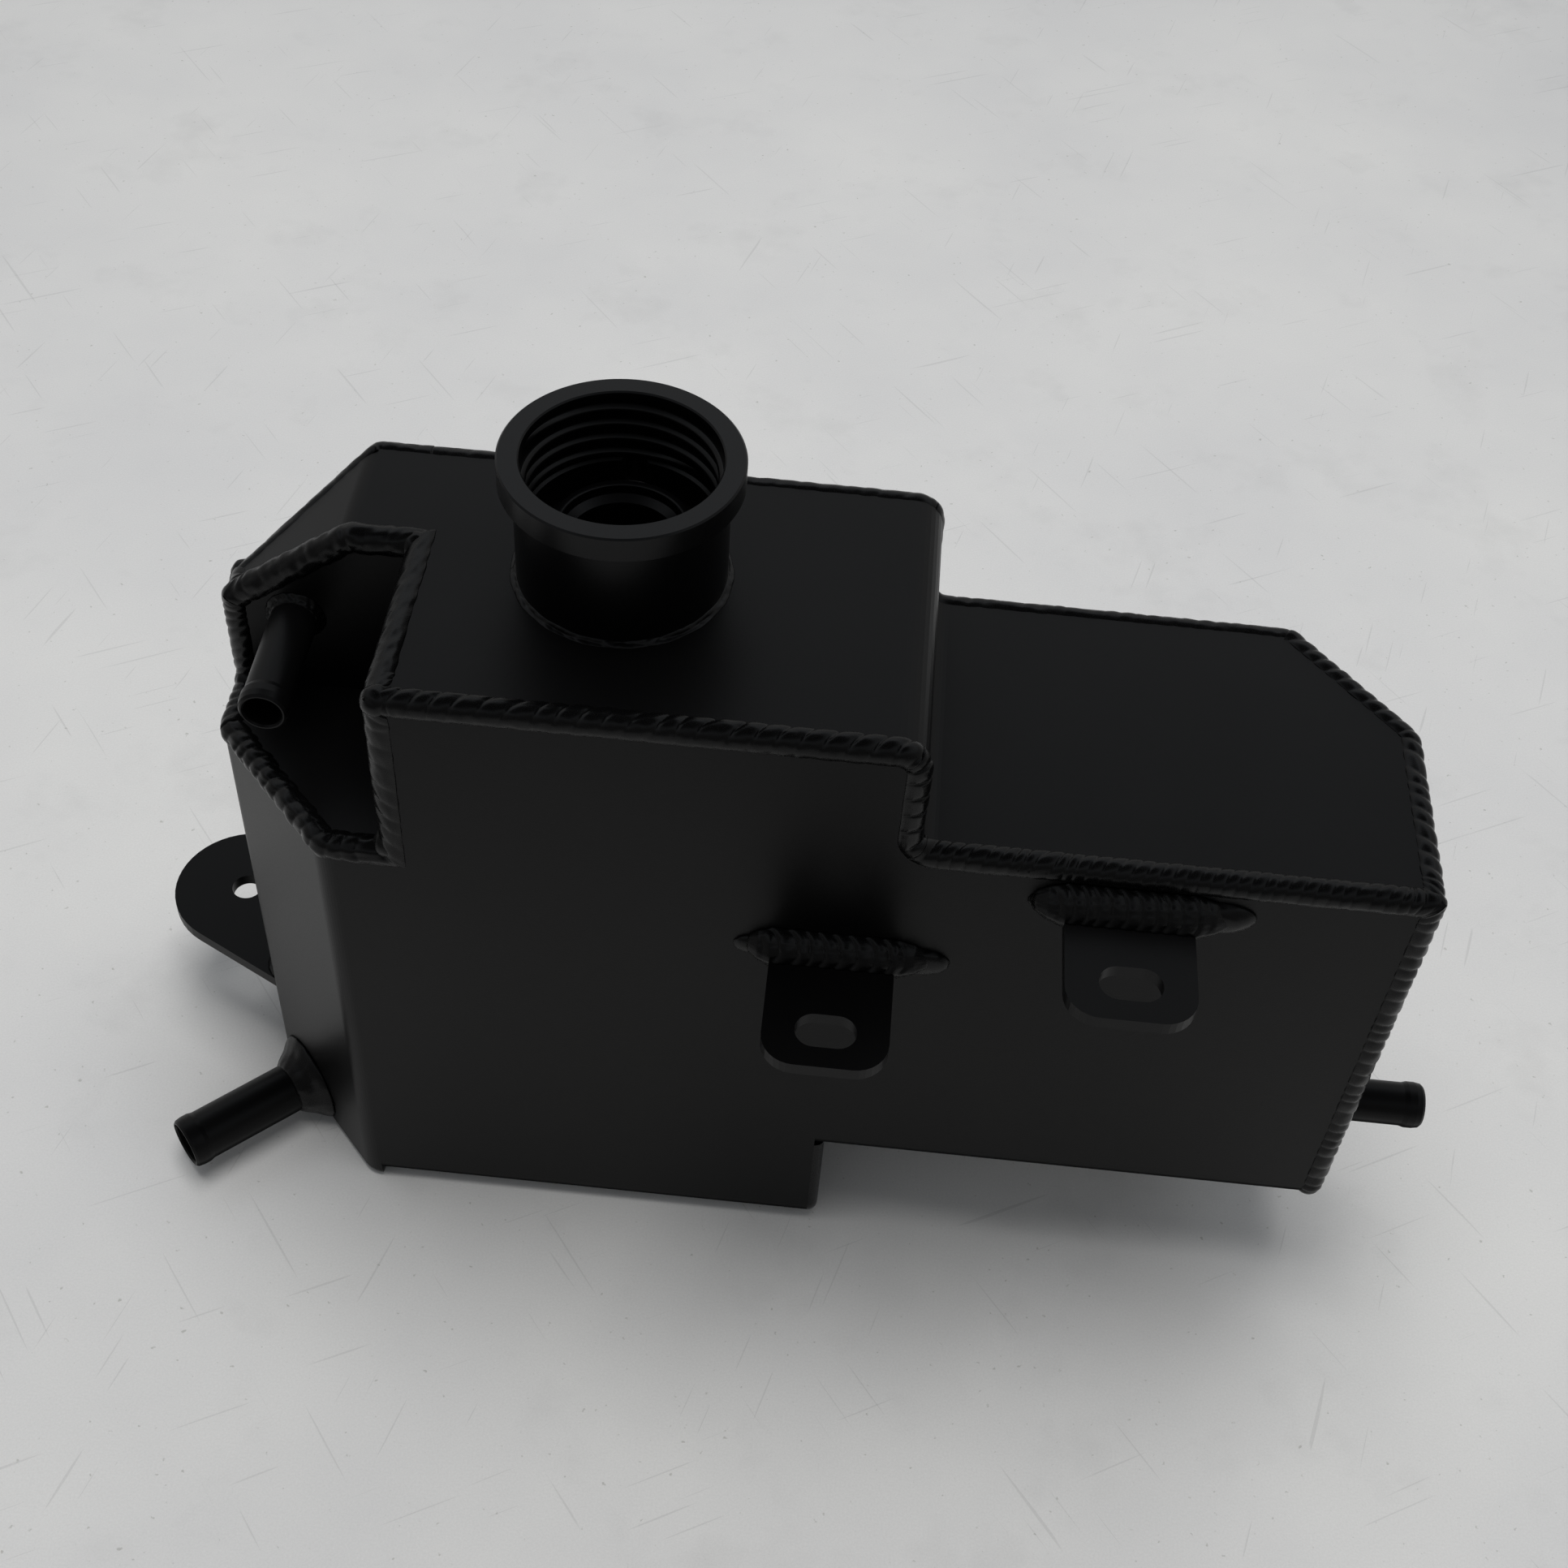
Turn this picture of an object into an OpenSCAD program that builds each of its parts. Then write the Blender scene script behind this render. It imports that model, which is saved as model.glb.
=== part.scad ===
// Coolant expansion tank, welded from folded aluminium sheet and powder coated black.
// A tall block with a low block beside it, a corner pocket cut from the tall block,
// a turned filler neck, hose spigots and three mounting tabs.
// Millimetres, +X to the right, +Y to the rear, +Z up. The origin is on the ground,
// at the middle of the tall block's underside.

/* [Tank] */
// Length from the left wall to the right end
tank_length = 325.5; // [300:0.5:360]
// Depth from the front face to the rear face
tank_depth = 98; // [90:0.5:115]
// Height of the tall block
tall_height = 218; // [212:0.5:235]
// Height of the low block's top above the ground
low_height = 181.5; // [178:0.5:188]
// Height of the low block's underside above the ground
low_underside = 39.5; // [30:0.5:60]
// Distance from the left wall to the step in the top
upper_step = 191.5; // [185:0.5:205]
// Distance from the left wall to the step in the underside
lower_step = 177; // [165:0.5:182]
// Thickness of the sheet
sheet = 3; // [2.5:0.1:3.5]
// Outside radius of the folds
fold_r = 8; // [6.5:0.5:9]

/* [Cut corners] */
// Width of the cut front left corner
front_cut_x = 36; // [30:0.5:40]
// Depth of the cut front left corner
front_cut_y = 39.5; // [36:0.5:42]
// Width of the sloping panel at the top left, and of the cut rear left corner
slope_width = 35.5; // [32:0.5:40]
// Drop of the sloping panel
slope_drop = 26; // [20:0.5:32]
// Depth of the cut rear left corner
rear_left_cut = 29.5; // [25:0.5:31]
// Width of the cut rear right corner
rear_right_cut_x = 32; // [25:0.5:40]
// Depth of the cut rear right corner
rear_right_cut_y = 37.5; // [30:0.5:45]

/* [Corner pocket] */
// Distance from the left wall to the pocket's side panel
pocket_width = 53; // [50:0.5:58]
// Distance from the rear face to the pocket's rear panel
pocket_back = 40.5; // [39.5:0.5:44]
// Drop from the top of the tank to the pocket's floor
pocket_drop = 57; // [53:0.5:68]

/* [Filler neck] */
// Distance from the left wall to the neck's axis
neck_x = 109; // [100:0.5:130]
// Distance from the front face to the neck's axis
neck_y = 54.5; // [45:0.5:60]
// Outside radius of the neck
neck_r = 27.3; // [26.8:0.1:28.5]
// Radius of the flange
flange_r = 31; // [30:0.1:34]
// Thickness of the flange
flange_t = 7.4; // [5:0.1:9]
// Height of the neck above the top sheet
neck_height = 38; // [36.5:0.5:45]
// Radius of the threaded bore
neck_bore_r = 25.2; // [24.8:0.1:25.5]
// Depth of the threaded bore
neck_bore_depth = 21; // [18:0.5:22]
// Radius of the overflow channel
channel_r = 24.4; // [24:0.1:24.6]
// Depth of the channel floor below the rim
channel_depth = 30.5; // [29.5:0.5:31.5]
// Outside radius of the cap seat
seat_r = 18; // [17:0.1:19]
// Depth of the cap seat below the rim
seat_depth = 22.3; // [21.5:0.1:24]
// Inside radius of the cap seat
seat_bore_r = 15.8; // [15:0.1:16.2]
// Radius of the hole through the seat
throat_r = 13.8; // [13:0.1:14.5]
// Thickness of the channel floor
throat_t = 4; // [3:0.1:5]

/* [Overflow spigot] */
// Outside radius
overflow_r = 4.75; // [4.2:0.05:5]
// Depth of the axis below the rim
overflow_depth = 24.9; // [24:0.1:25.2]
// Distance from the neck's axis to the free end
overflow_reach = 57; // [48:0.5:62]

/* [Hose spigots] */
// Outside radius of the pocket spigot and the end spigot
hose_r = 6.35; // [6:0.05:7]
// Wall of all spigots
spigot_wall = 1.3; // [1:0.05:1.6]
// Height of the rolled rim near each free end
rolled_rim = 0.4; // [0.2:0.05:0.5]
// How far each spigot reaches inside the wall
spigot_inside = 2; // [1:0.5:4]
// Distance from the left wall to the pocket spigot
pocket_spigot_x = 19.5; // [18:0.5:24]
// Drop from the top of the tank to the pocket spigot
pocket_spigot_drop = 30.6; // [30:0.1:38]
// Length of the pocket spigot outside the panel
pocket_spigot_length = 37; // [25:0.5:45]
// Distance from the front face to the end spigot
end_spigot_y = 14.5; // [14:0.5:40]
// Height of the end spigot
end_spigot_z = 74; // [60:0.5:110]
// Length of the end spigot outside the wall
end_spigot_length = 24; // [20:0.5:40]
// Outside radius of the corner spigot
corner_spigot_r = 7.95; // [7:0.05:8.5]
// Distance along the cut corner to the corner spigot
corner_spigot_s = 36; // [30:0.5:37]
// Height of the corner spigot
corner_spigot_z = 12; // [11:0.5:30]
// Length of the corner spigot outside the wall
corner_spigot_length = 44.5; // [30:0.5:55]

/* [Tabs] */
// Thickness of the tabs
tab_t = 4; // [3:0.5:5]
// Width of the front tabs
tab_width = 33.5; // [28:0.5:40]
// Radius of the front tabs' outer corners
tab_corner_r = 9; // [6:0.5:12]
// Length of the slots, end to end
slot_length = 16.4; // [12:0.1:20]
// Radius of the slots' round ends
slot_r = 5.2; // [3.5:0.1:5.5]
// Distance from the slots' middle line to the tabs' edge
slot_edge = 11.4; // [9:0.1:13]
// Distance from the left wall to the middle of the left front tab
left_tab_x = 173; // [150:0.5:175]
// Height of the left front tab's upper face
left_tab_z = 139; // [110:0.5:148]
// Reach of the left front tab from the front face
left_tab_reach = 38.5; // [30:0.5:45]
// Distance from the right end to the middle of the right front tab
right_tab_from_end = 78; // [60:0.5:95]
// Height of the right front tab's upper face
right_tab_z = 168.5; // [150:0.5:169]
// Reach of the right front tab from the front face
right_tab_reach = 36; // [30:0.5:45]
// Height of the side tab's upper face
side_tab_z = 42; // [30:0.5:80]
// Radius of the side tab's round end
side_tab_r = 23; // [18:0.5:26]
// Radius of the side tab's hole
side_hole_r = 4.75; // [3:0.05:6]
// Distance from the tank's corner to the hole
side_tab_reach = 20; // [16:0.5:24]
// Distance from the cut front left corner to the side tab
side_tab_gap = 2; // [1.5:0.5:6]

/* [Welds] */
// Width of the corner welds on each face
weld_w = 5.6; // [5:0.1:6]
// Width of the pocket's thick edge welds on each face
rim_w = 6.2; // [5.5:0.1:6.4]
// Leg of the tabs' welds
tab_leg = 7.2; // [5:0.1:8]
// Leg of the weld round the corner spigot
corner_leg = 7; // [5:0.1:7.5]
// Leg of the welds round the pocket spigot, the end spigot and the overflow spigot
spigot_leg = 2.5; // [1.5:0.1:2.6]
// Leg of the side tab's welds
side_leg = 4; // [3:0.1:5]
// Leg of the weld round the neck
neck_leg = 3.2; // [2:0.1:4]

/* [Fits] */
// Radial clearance of a tube in its hole
tube_clear = 0.1; // [0.05:0.05:0.2]
// Gap between the underside's edge and the walls that stand beside it
plate_gap = 0.05; // [0.02:0.01:0.2]
// Smoothness of round features
$fn = 96; // [48:8:128]

/* [Hidden] */
black = [0.07, 0.07, 0.075];
weld_black = [0.1, 0.1, 0.105];
turned_black = [0.12, 0.12, 0.13];
L = tank_length;
D = tank_depth;
H = tall_height;
Zr = low_height;
Zb = low_underside;
Xs = upper_step;
Xb = lower_step;
t = sheet;
R = fold_r;
Xn = pocket_width;
Dn = D - pocket_back;
Zn = H - pocket_drop;
Hs = H - slope_drop;
YL = D - rear_left_cut;
YR = D - rear_right_cut_y;
right_tab_x = L - right_tab_from_end;
side_tab_seat = YL - front_cut_y - side_tab_gap;
far = 50;
arc_n = 8;
X = [1, 0, 0];
Y = [0, 1, 0];
Z = [0, 0, 1];

// Plane geometry
function unit(v) = v / norm(v);
function turn(v) = [-v.y, v.x];
function wrap(a) = a > 180 ? a - 360 : a < -180 ? a + 360 : a;
function ang(v) = atan2(v.y, v.x);
function cross2(u, v) = u.x * v.y - u.y * v.x;
function flip(p) = [for (i = [len(p) - 1:-1:0]) p[i]];
// Points on the round of radius r at the corner b of the line a-b-c, each with the direction
// that points to the right of the line
function round_frames(a, b, c, r) =
    let (u = unit(a - b), v = unit(c - b), half = acos(max(-1, min(1, u * v))) / 2,
        m = b + unit(u + v) * r / sin(half), a0 = ang(b + u * r / tan(half) - m),
        da = wrap(ang(b + v * r / tan(half) - m) - a0), side = cross2(b - a, c - b) > 0 ? 1 : -1)
    [for (i = [0:arc_n]) let (k = a0 + da * i / arc_n, e = [cos(k), sin(k)]) [m + r * e, side * e]];
// A line with rounded corners, as points with directions to its right. Corners that turn left get
// the radius rl and those that turn right rr.
function frames(p, rl, rr) = [for (i = [0:len(p) - 1])
    each i == 0 ? [[p[0], -turn(unit(p[1] - p[0]))]] :
        i == len(p) - 1 ? [[p[i], -turn(unit(p[i] - p[i - 1]))]] :
        round_frames(p[i - 1], p[i], p[i + 1], cross2(p[i] - p[i - 1], p[i + 1] - p[i]) > 0 ? rl : rr)];
function rounded(p, rl, rr) = [for (f = frames(p, rl, rr)) f[0]];
// Numbers of a line's points at the start, the middle and the end of its round corner k
function first(k) = 1 + (k - 1) * (arc_n + 1);
function middle(k) = first(k) + arc_n / 2;
function last(k) = first(k) + arc_n;
// A line moved to its right by d
function moved(p, d) = [for (i = [0:len(p) - 1])
    let (u = unit(i > 0 ? p[i] - p[i - 1] : p[1] - p[0]),
        v = i < len(p) - 1 ? unit(p[i + 1] - p[i]) : u)
    p[i] - (turn(u) + turn(v)) * d / (1 + u * v)];
// The outline of a folded strip whose outer face runs along p, with the sheet to its right
function strip(p) = concat(rounded(p, R - t, R), flip(rounded(moved(p, t), R, R - t)));

// Outer lines of the tank. The walls in plan run clockwise from the front face.
slope_dir = unit([slope_width, slope_drop]);
top_line = [[0, Hs] - far * slope_dir, [slope_width, H], [Xs, H], [Xs, Zr], [L + far, Zr]];
top_inner = rounded(moved(top_line, t), R, R - t);
plan = [[front_cut_x, 0], [0, front_cut_y], [0, YL], [slope_width, D], [L - rear_right_cut_x, D],
    [L, YR], [L, 0]];
function inset(d) = let (m = moved(concat([plan[6]], plan, [plan[0]]), d))
    [for (i = [1:7]) each i == 3 || i == 7 ? [m[i]] :
        [for (f = round_frames(m[i - 1], m[i], m[i + 1], R - d)) f[0]]];
inner_plan = inset(t);
under_plan = inset(t + plate_gap);
// The front left cut: its direction, its outward normal and the end of its fold on the front face
cut_dir = unit([-front_cut_x, front_cut_y]);
cut_out = [-cut_dir.y, cut_dir.x];
fold_x = front_cut_x + R * (1 + cut_dir.x) / cut_dir.y;
// The rear left cut: its direction, its outward normal, and how far the seam's edges stand back
rl_dir = unit([slope_width, rear_left_cut]);
rl_out = [-rl_dir.y, rl_dir.x];
rl_back = t * (1 - rl_dir.y) / rl_dir.x;
mid_out = unit([-1, 0] + rl_out);
bead_room = 0.25 * weld_w;

// Profiles extruded along Y and along X
module xz(y0, y1) {
    translate([0, y1, 0])
        rotate([90, 0, 0])
            linear_extrude(y1 - y0) children();
}
module yz(x0, x1) {
    translate([x0, 0, 0])
        rotate([90, 0, 90])
            linear_extrude(x1 - x0) children();
}
module placed() {
    translate([-Xb / 2, -D / 2, 0]) children();
}
module pocket_cut() {
    translate([-far, -far, Zn - t]) cube([far + Xn + t, far + Dn + t, H]);
}
// Axes of the spigots, drawn along +Z from the outer face of their wall
module at_pocket_spigot() {
    translate([pocket_spigot_x, Dn, H - pocket_spigot_drop]) rotate([90, 0, 0]) children();
}
module at_corner_spigot() {
    p = [front_cut_x, 0] + corner_spigot_s * cut_dir;
    translate([p.x, p.y, corner_spigot_z]) rotate([0, 90, ang(cut_out)]) children();
}
module at_end_spigot() {
    translate([L, end_spigot_y, end_spigot_z]) rotate([0, 90, 0]) children();
}
module at_overflow() {
    translate([neck_x, neck_y, H + neck_height - overflow_depth]) rotate([-90, 0, 0]) children();
}

// Sheets
module front_sheet() {
    color(black) placed() difference() {
        union() {
            difference() {
                intersection() {
                    linear_extrude(H) polygon(strip([[L - t, 0], [front_cut_x, 0], [0, front_cut_y],
                        [0, YL - rl_back]]));
                    xz(-far, D) polygon(concat([[-far, t], [fold_x, t], [fold_x, R], [Xb - t, R],
                        [Xb - t, Zb + R], [L, Zb + R], [L, Zr - t]],
                        flip([for (p = top_inner) if (p.x < L) p])));
                }
                pocket_cut();
            }
            front_fold(fold_x, Xb - t, 0);
            front_fold(Xb - t, L - t, Zb);
            intersection() {
                linear_extrude(t) polygon(under_plan);
                difference() {
                    cube([Xb - t, D, t]);
                    translate([fold_x, -1, -1]) cube([L, R + 1, t + 2]);
                }
            }
            intersection() {
                translate([0, 0, Zb]) linear_extrude(t) polygon(under_plan);
                translate([Xb - t, R, Zb]) cube([L, D, t]);
            }
        }
        at_corner_spigot() cylinder(r = corner_spigot_r + tube_clear, h = 4 * t, center = true);
    }
}
// The fold between the front face and an underside at height z
module front_fold(x0, x1, z) {
    yz(x0, x1) polygon([for (p = concat(
        [for (f = round_frames([0, far], [0, 0], [far, 0], R)) f[0]],
        flip([for (f = round_frames([t, far], [t, t], [far, t], R - t)) f[0]]))) p + [0, z]]);
}
module rear_sheet() {
    color(black) placed() difference() {
        intersection() {
            linear_extrude(H) polygon(strip([[0, YL] + rl_back * rl_dir, [slope_width, D],
                [L - rear_right_cut_x, D], [L, YR], [L, t]]));
            xz(-far, D + far) polygon(concat([[-far, t], [Xb - t, t], [Xb - t, Zb + t],
                [L + far, Zb + t]], flip(top_inner)));
        }
        yz(L - 2 * t, L + t) rounded_away(Zb);
        at_end_spigot() cylinder(r = hose_r + tube_clear, h = 4 * t, center = true);
    }
}
// What an end wall lacks at its lower front corner, where it follows the fold
module rounded_away(z) {
    polygon([for (p = concat([for (f = round_frames([t, far], [t, t], [far, t], R - t)) f[0]],
        [[R, -1], [-1, -1], [-1, R]])) p + [0, z]]);
}
module top_sheet() {
    color(black) placed() difference() {
        intersection() {
            linear_extrude(H + far) polygon(inner_plan);
            xz(-far, D + far) polygon(strip(top_line));
        }
        pocket_cut();
        translate([neck_x, neck_y, H - 2 * t]) cylinder(r = neck_r + tube_clear, h = 4 * t);
    }
}
module lower_step_panel() {
    color(black) placed() difference() {
        translate([Xb - t, t, t]) cube([t, D - 2 * t, Zb]);
        yz(Xb - 2 * t, Xb + t) rounded_away(0);
        low_block();
    }
}
// The space that the low block takes, with its fold
module low_block() {
    translate([Xb - 2 * t, R, Zb]) cube([L, D, H]);
    translate([Xb - 2 * t, R, Zb + R]) rotate([0, 90, 0]) cylinder(r = R, h = L);
}
module pocket_floor() {
    color(black) placed() translate([0, 0, Zn - t]) intersection() {
        linear_extrude(t) polygon(inner_plan);
        cube([Xn, Dn, t]);
    }
}
module pocket_side() {
    color(black) placed() translate([Xn, t, Zn - t]) cube([t, Dn, H - Zn]);
}
module pocket_rear() {
    color(black) placed() difference() {
        intersection() {
            xz(Dn, Dn + t) polygon(concat([[-far, 0], [L, 0]], flip([for (p = top_inner) if (p.x < L) p])));
            translate([t, 0, Zn - t]) cube([Xn - t, D, H]);
        }
        at_pocket_spigot() cylinder(r = hose_r + tube_clear, h = 4 * t, center = true);
    }
}

// The turned neck, its depths counted from the rim
module filler_neck() {
    color(turned_black) placed() difference() {
        translate([neck_x, neck_y, H + neck_height]) rotate_extrude() polygon([
            [neck_bore_r + 0.5, 0], [flange_r - 1, 0], [flange_r, -1], [flange_r, -flange_t + 0.8],
            [flange_r - 0.8, -flange_t], [neck_r + 1.2, -flange_t], [neck_r + 0.35, -flange_t - 0.35],
            [neck_r, -flange_t - 1.2], [neck_r, -neck_height - t], [channel_r, -neck_height - t],
            [channel_r, -channel_depth - throat_t], [throat_r, -channel_depth - throat_t],
            [throat_r, -seat_depth - 4.5], [seat_bore_r, -seat_depth - 3], [seat_bore_r, -seat_depth - 0.4],
            [seat_bore_r + 0.4, -seat_depth], [seat_r - 0.6, -seat_depth], [seat_r, -seat_depth - 0.6],
            [seat_r, -channel_depth], [channel_r, -channel_depth], [channel_r, -neck_bore_depth - 0.6],
            [neck_bore_r, -neck_bore_depth], [neck_bore_r, -0.5]]);
        at_overflow() cylinder(r = overflow_r + tube_clear, h = flange_r);
    }
}

// A tube along +Z with its wall's outer face at 0 and a rolled rim near its end
module spigot(r, length, inside) {
    rotate_extrude() polygon([[r - spigot_wall, -inside], [r, -inside], [r, length - 6],
        [r + rolled_rim, length - 4.6], [r + rolled_rim, length - 2.4], [r + 0.1, length - 0.7],
        [r - 0.5, length], [r - spigot_wall + 0.4, length], [r - spigot_wall, length - 0.6]]);
}
module overflow_spigot() {
    color(black) placed() difference() {
        at_overflow() spigot(overflow_r, overflow_reach, -neck_r / 2);
        translate([neck_x, neck_y, H]) cylinder(r = channel_r, h = neck_height);
        translate([neck_x, neck_y, H + neck_height - neck_bore_depth])
            cylinder(r = neck_bore_r, h = neck_bore_depth);
    }
}
module pocket_spigot() {
    color(black) placed() at_pocket_spigot() spigot(hose_r, pocket_spigot_length, t + spigot_inside);
}
module corner_spigot() {
    color(black) placed() at_corner_spigot()
        spigot(corner_spigot_r, corner_spigot_length, t + spigot_inside);
}
module end_spigot() {
    color(black) placed() at_end_spigot() spigot(hose_r, end_spigot_length, t + spigot_inside);
}

// A front tab that reaches towards -Y from the front face, its upper face at 0
module front_tab(reach) {
    translate([-tab_width / 2, -reach, -tab_t]) linear_extrude(tab_t) difference() {
        polygon(concat([[0, reach]],
            [for (f = round_frames([0, reach], [0, 0], [tab_width, 0], tab_corner_r)) f[0]],
            [for (f = round_frames([0, 0], [tab_width, 0], [tab_width, reach], tab_corner_r)) f[0]],
            [[tab_width, reach]]));
        translate([tab_width / 2, slot_edge]) union() {
            square([slot_length - 2 * slot_r, 2 * slot_r], center = true);
            for (i = [-1, 1]) translate([i * (slot_length / 2 - slot_r), 0]) circle(slot_r);
        }
    }
}
module left_tab() {
    color(black) placed() translate([left_tab_x, 0, left_tab_z]) front_tab(left_tab_reach);
}
module right_tab() {
    color(black) placed() translate([right_tab_x, 0, right_tab_z]) front_tab(right_tab_reach);
}
// The side tab wraps the corner between the left wall and the rear left cut
hole_at = [0, YL] + side_tab_reach * mid_out;
module side_tab() {
    a = [0, YL - side_tab_seat];
    b = [0, YL] + side_tab_seat * rl_dir;
    from = 360 + ang(tangent(a, -1) - hole_at);
    to = ang(tangent(b, 1) - hole_at);
    color(black) placed() translate([0, 0, side_tab_z - tab_t]) linear_extrude(tab_t) difference() {
        polygon(concat([[0, YL] + t * [1, 0], a + t * [1, 0], a],
            [for (i = [0:24]) let (k = from + i * (to - from) / 24)
                hole_at + side_tab_r * [cos(k), sin(k)]], [b, b - t * rl_out]));
        translate(hole_at) circle(side_hole_r);
        corner_notch();
        polygon([[0, YL], [0, -far], [L, -far], [L, D], [0, YL] + 2 * far * rl_dir]);
    }
}
// Room for the bead of the corner that the side tab wraps
module corner_notch() {
    edge = [[0, YL - 1.4 * weld_w], [0, YL], [0, YL] + 1.4 * weld_w * rl_dir];
    polygon(concat(moved(edge, 1), flip(moved(edge, -bead_room))));
}
// Where the straight edge from p touches the side tab's round end
function tangent(p, s) = let (v = hole_at - p, k = asin(side_tab_r / norm(v)), e = ang(v) - s * k)
    p + sqrt(v * v - side_tab_r * side_tab_r) * [cos(e), sin(e)];

// Welds. A station holds the point where the outer faces of two sheets would meet and, for each
// face, the direction that runs into it from there. The two directions are scaled so that the inner
// faces meet at [t, t]. At a corner of three welds a station also holds the direction along the
// weld and how far its points move that way.
function ring(s, shape) = [for (v = shape) s[0] + v.x * s[1] + v.y * s[2] +
    (len(s) > 3 ? shift(v, s[4]) * s[3] : [0, 0, 0])];
function shift(v, c) = v.x >= v.y ? v.x * c[0] + v.y * (c[2] - c[0]) : v.y * c[1] + v.x * (c[2] - c[1]);
// The station at a corner where the weld from there along T meets two others. The one along U
// shares the face of the first direction, the one along V that of the second.
function corner(c, a, b, T, U, V) =
    let (n = unit(cross(U, V)), m = n * T > 0 ? n : -n)
    [c, a, b, T, [meet(a, T, U), meet(b, T, V), (1 - m * (a + b)) / (m * T)]];
function meet(a, T, U) = let (b = unit(U) + T, n = cross(T, b)) -(cross(a, b) * n) / (n * n);
// A raised half round bead with toes at w, where the sheets' outer edges stand back by a
function bead(w, a = t) = concat([[t, t], [a, 0]],
    [for (i = [0:arc_n]) let (k = -45 - i * 180 / arc_n) [w / 2, w / 2] + w / sqrt(2) * [cos(k), sin(k)]],
    [[0, a]]);
// A quarter round that only fills the corner
function fill() = concat([[t, t]],
    [for (i = [0:arc_n]) let (k = -90 - i * 90 / arc_n) [t, t] + t * [cos(k), sin(k)]]);
function sum(v, i = 0) = i < len(v) ? v[i] + sum(v, i + 1) : [0, 0, 0];
// Triangles that close the end of a sweep with n points in its ring. A bead's end is split along
// the line from the inner corner to the middle of its round, where it folds at a corner of welds.
function cap(n) = let (h = n / 2)
    n < arc_n + 4 ? [for (j = [1:n - 2]) [0, j, j + 1]] :
    concat([[0, 1, h], [0, h, n - 1]], [for (j = [2:h - 1]) [1, j, j + 1]],
        [for (j = [h:n - 3]) [n - 1, j, j + 1]]);
module sweep(rings) {
    n = len(rings[0]);
    m = len(rings) - 1;
    area = sum([for (i = [1:n - 2]) cross(rings[0][i] - rings[0][0], rings[0][i + 1] - rings[0][0])]);
    way = area * (sum(rings[1]) - sum(rings[0]));
    faces = concat(
        cap(n),
        [for (f = cap(n)) [m * n + f[0], m * n + f[2], m * n + f[1]]],
        [for (i = [0:m - 1], j = [0:n - 1]) let (k = (j + 1) % n) each [
            [i * n + j, (i + 1) * n + j, (i + 1) * n + k], [i * n + j, (i + 1) * n + k, i * n + k]]]);
    polyhedron([for (r = rings) each r], way > 0 ? faces : [for (f = faces) flip(f)]);
}
module weld(stations, shape) {
    color(weld_black) placed() sweep([for (s = stations) ring(s, shape)]);
}

// Stations along the top line in a plane at y, where s is the way into the tank
top_frames = frames(top_line, R - t, R);
function top_run(y, s, i0, i1) = [for (i = [i0:i1]) let (f = top_frames[i])
    [[f[0].x, y, f[0].y], [f[1].x, 0, f[1].y], [0, s, 0]]];
// Frames of the front sheet, of the rear left corner and of the rear right cut in plan
front_frames = frames([[L, 0], plan[0], plan[1], plan[2]], R - t, R);
left_frames = frames([plan[2], plan[3], plan[4]], R - t, R);
right_frames = frames([plan[3], plan[4], plan[5], plan[6]], R - t, R);
// Stations along a run in plan at height z, where s is the way along the wall
function plan_run(p, z, s, i0, i1) = [for (i = [i0:i1])
    [[p[i][0].x, p[i][0].y, z], [0, 0, s], [p[i][1].x, p[i][1].y, 0]]];
// Stations where the walls at the rear left carry the sloped top sheet
outer_top = [for (i = [0:first(2)]) top_frames[i][0]];
inner_top = [for (i = [0:first(2)]) top_inner[i]];
function slope_station(f) =
    let (x = f[0].x, z = lookup(x, outer_top), zi = lookup(x, inner_top))
    [[x, f[0].y, z], [0, 0, (zi - z) / t], [f[1].x, f[1].y, (lookup(x + t * f[1].x, inner_top) - zi) / t]];
slope_up = [slope_dir.x, 0, slope_dir.y];
slope_wall = [0, 0, -1 / slope_dir.x];
slope_top = [1, 0, slope_drop / slope_width];
cut_up = unit([slope_width, rear_left_cut, slope_drop]);
cut_along = [rl_dir.x, rl_dir.y, 0];
cut_in = slope_station(left_frames[0]);
slope_end = [[slope_width + 2 * R, D, H], -Z, -Y];

// The seams round the top
module weld_top_front() {
    weld(concat([corner([Xn, 0, H], -Z, Y, X, -Z, Y)], top_run(0, 1, first(2), middle(2))),
        bead(weld_w));
}
module weld_step_front() {
    weld(top_run(0, 1, middle(2), middle(3)), bead(weld_w));
}
module weld_low_front() {
    weld(concat(top_run(0, 1, middle(3), last(3)), [corner([L, 0, Zr], -Z, Y, -X, -Z, Y)]), bead(weld_w));
}
module weld_end_top() {
    weld(concat(plan_run(right_frames, Zr, -1, middle(1), last(2)),
        [corner([L, 0, Zr], -Z, -X, Y, -Z, -X)]), bead(weld_w));
}
module weld_low_rear() {
    weld(concat(top_run(D, -1, middle(3), last(3)),
        plan_run(right_frames, Zr, -1, first(1), middle(1))), bead(weld_w));
}
module weld_step_rear() {
    weld(top_run(D, -1, middle(2), middle(3)), bead(weld_w));
}
module weld_top_rear() {
    weld(concat([slope_end], top_run(D, -1, first(2), middle(2))), bead(weld_w));
}
module weld_slope_rear() {
    weld(concat([corner([0, YL, Hs], cut_in[1], cut_in[2], cut_up, -Z, -Y)],
        [for (i = [first(1):last(1)]) slope_station(left_frames[i])], [slope_end]), bead(weld_w));
}
module weld_left_top() {
    weld([corner([0, Dn, Hs], slope_wall, slope_top, Y, -Z, slope_up),
        corner([0, YL, Hs], slope_wall, slope_top, -Y, -Z, cut_up)], bead(weld_w));
}
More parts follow.
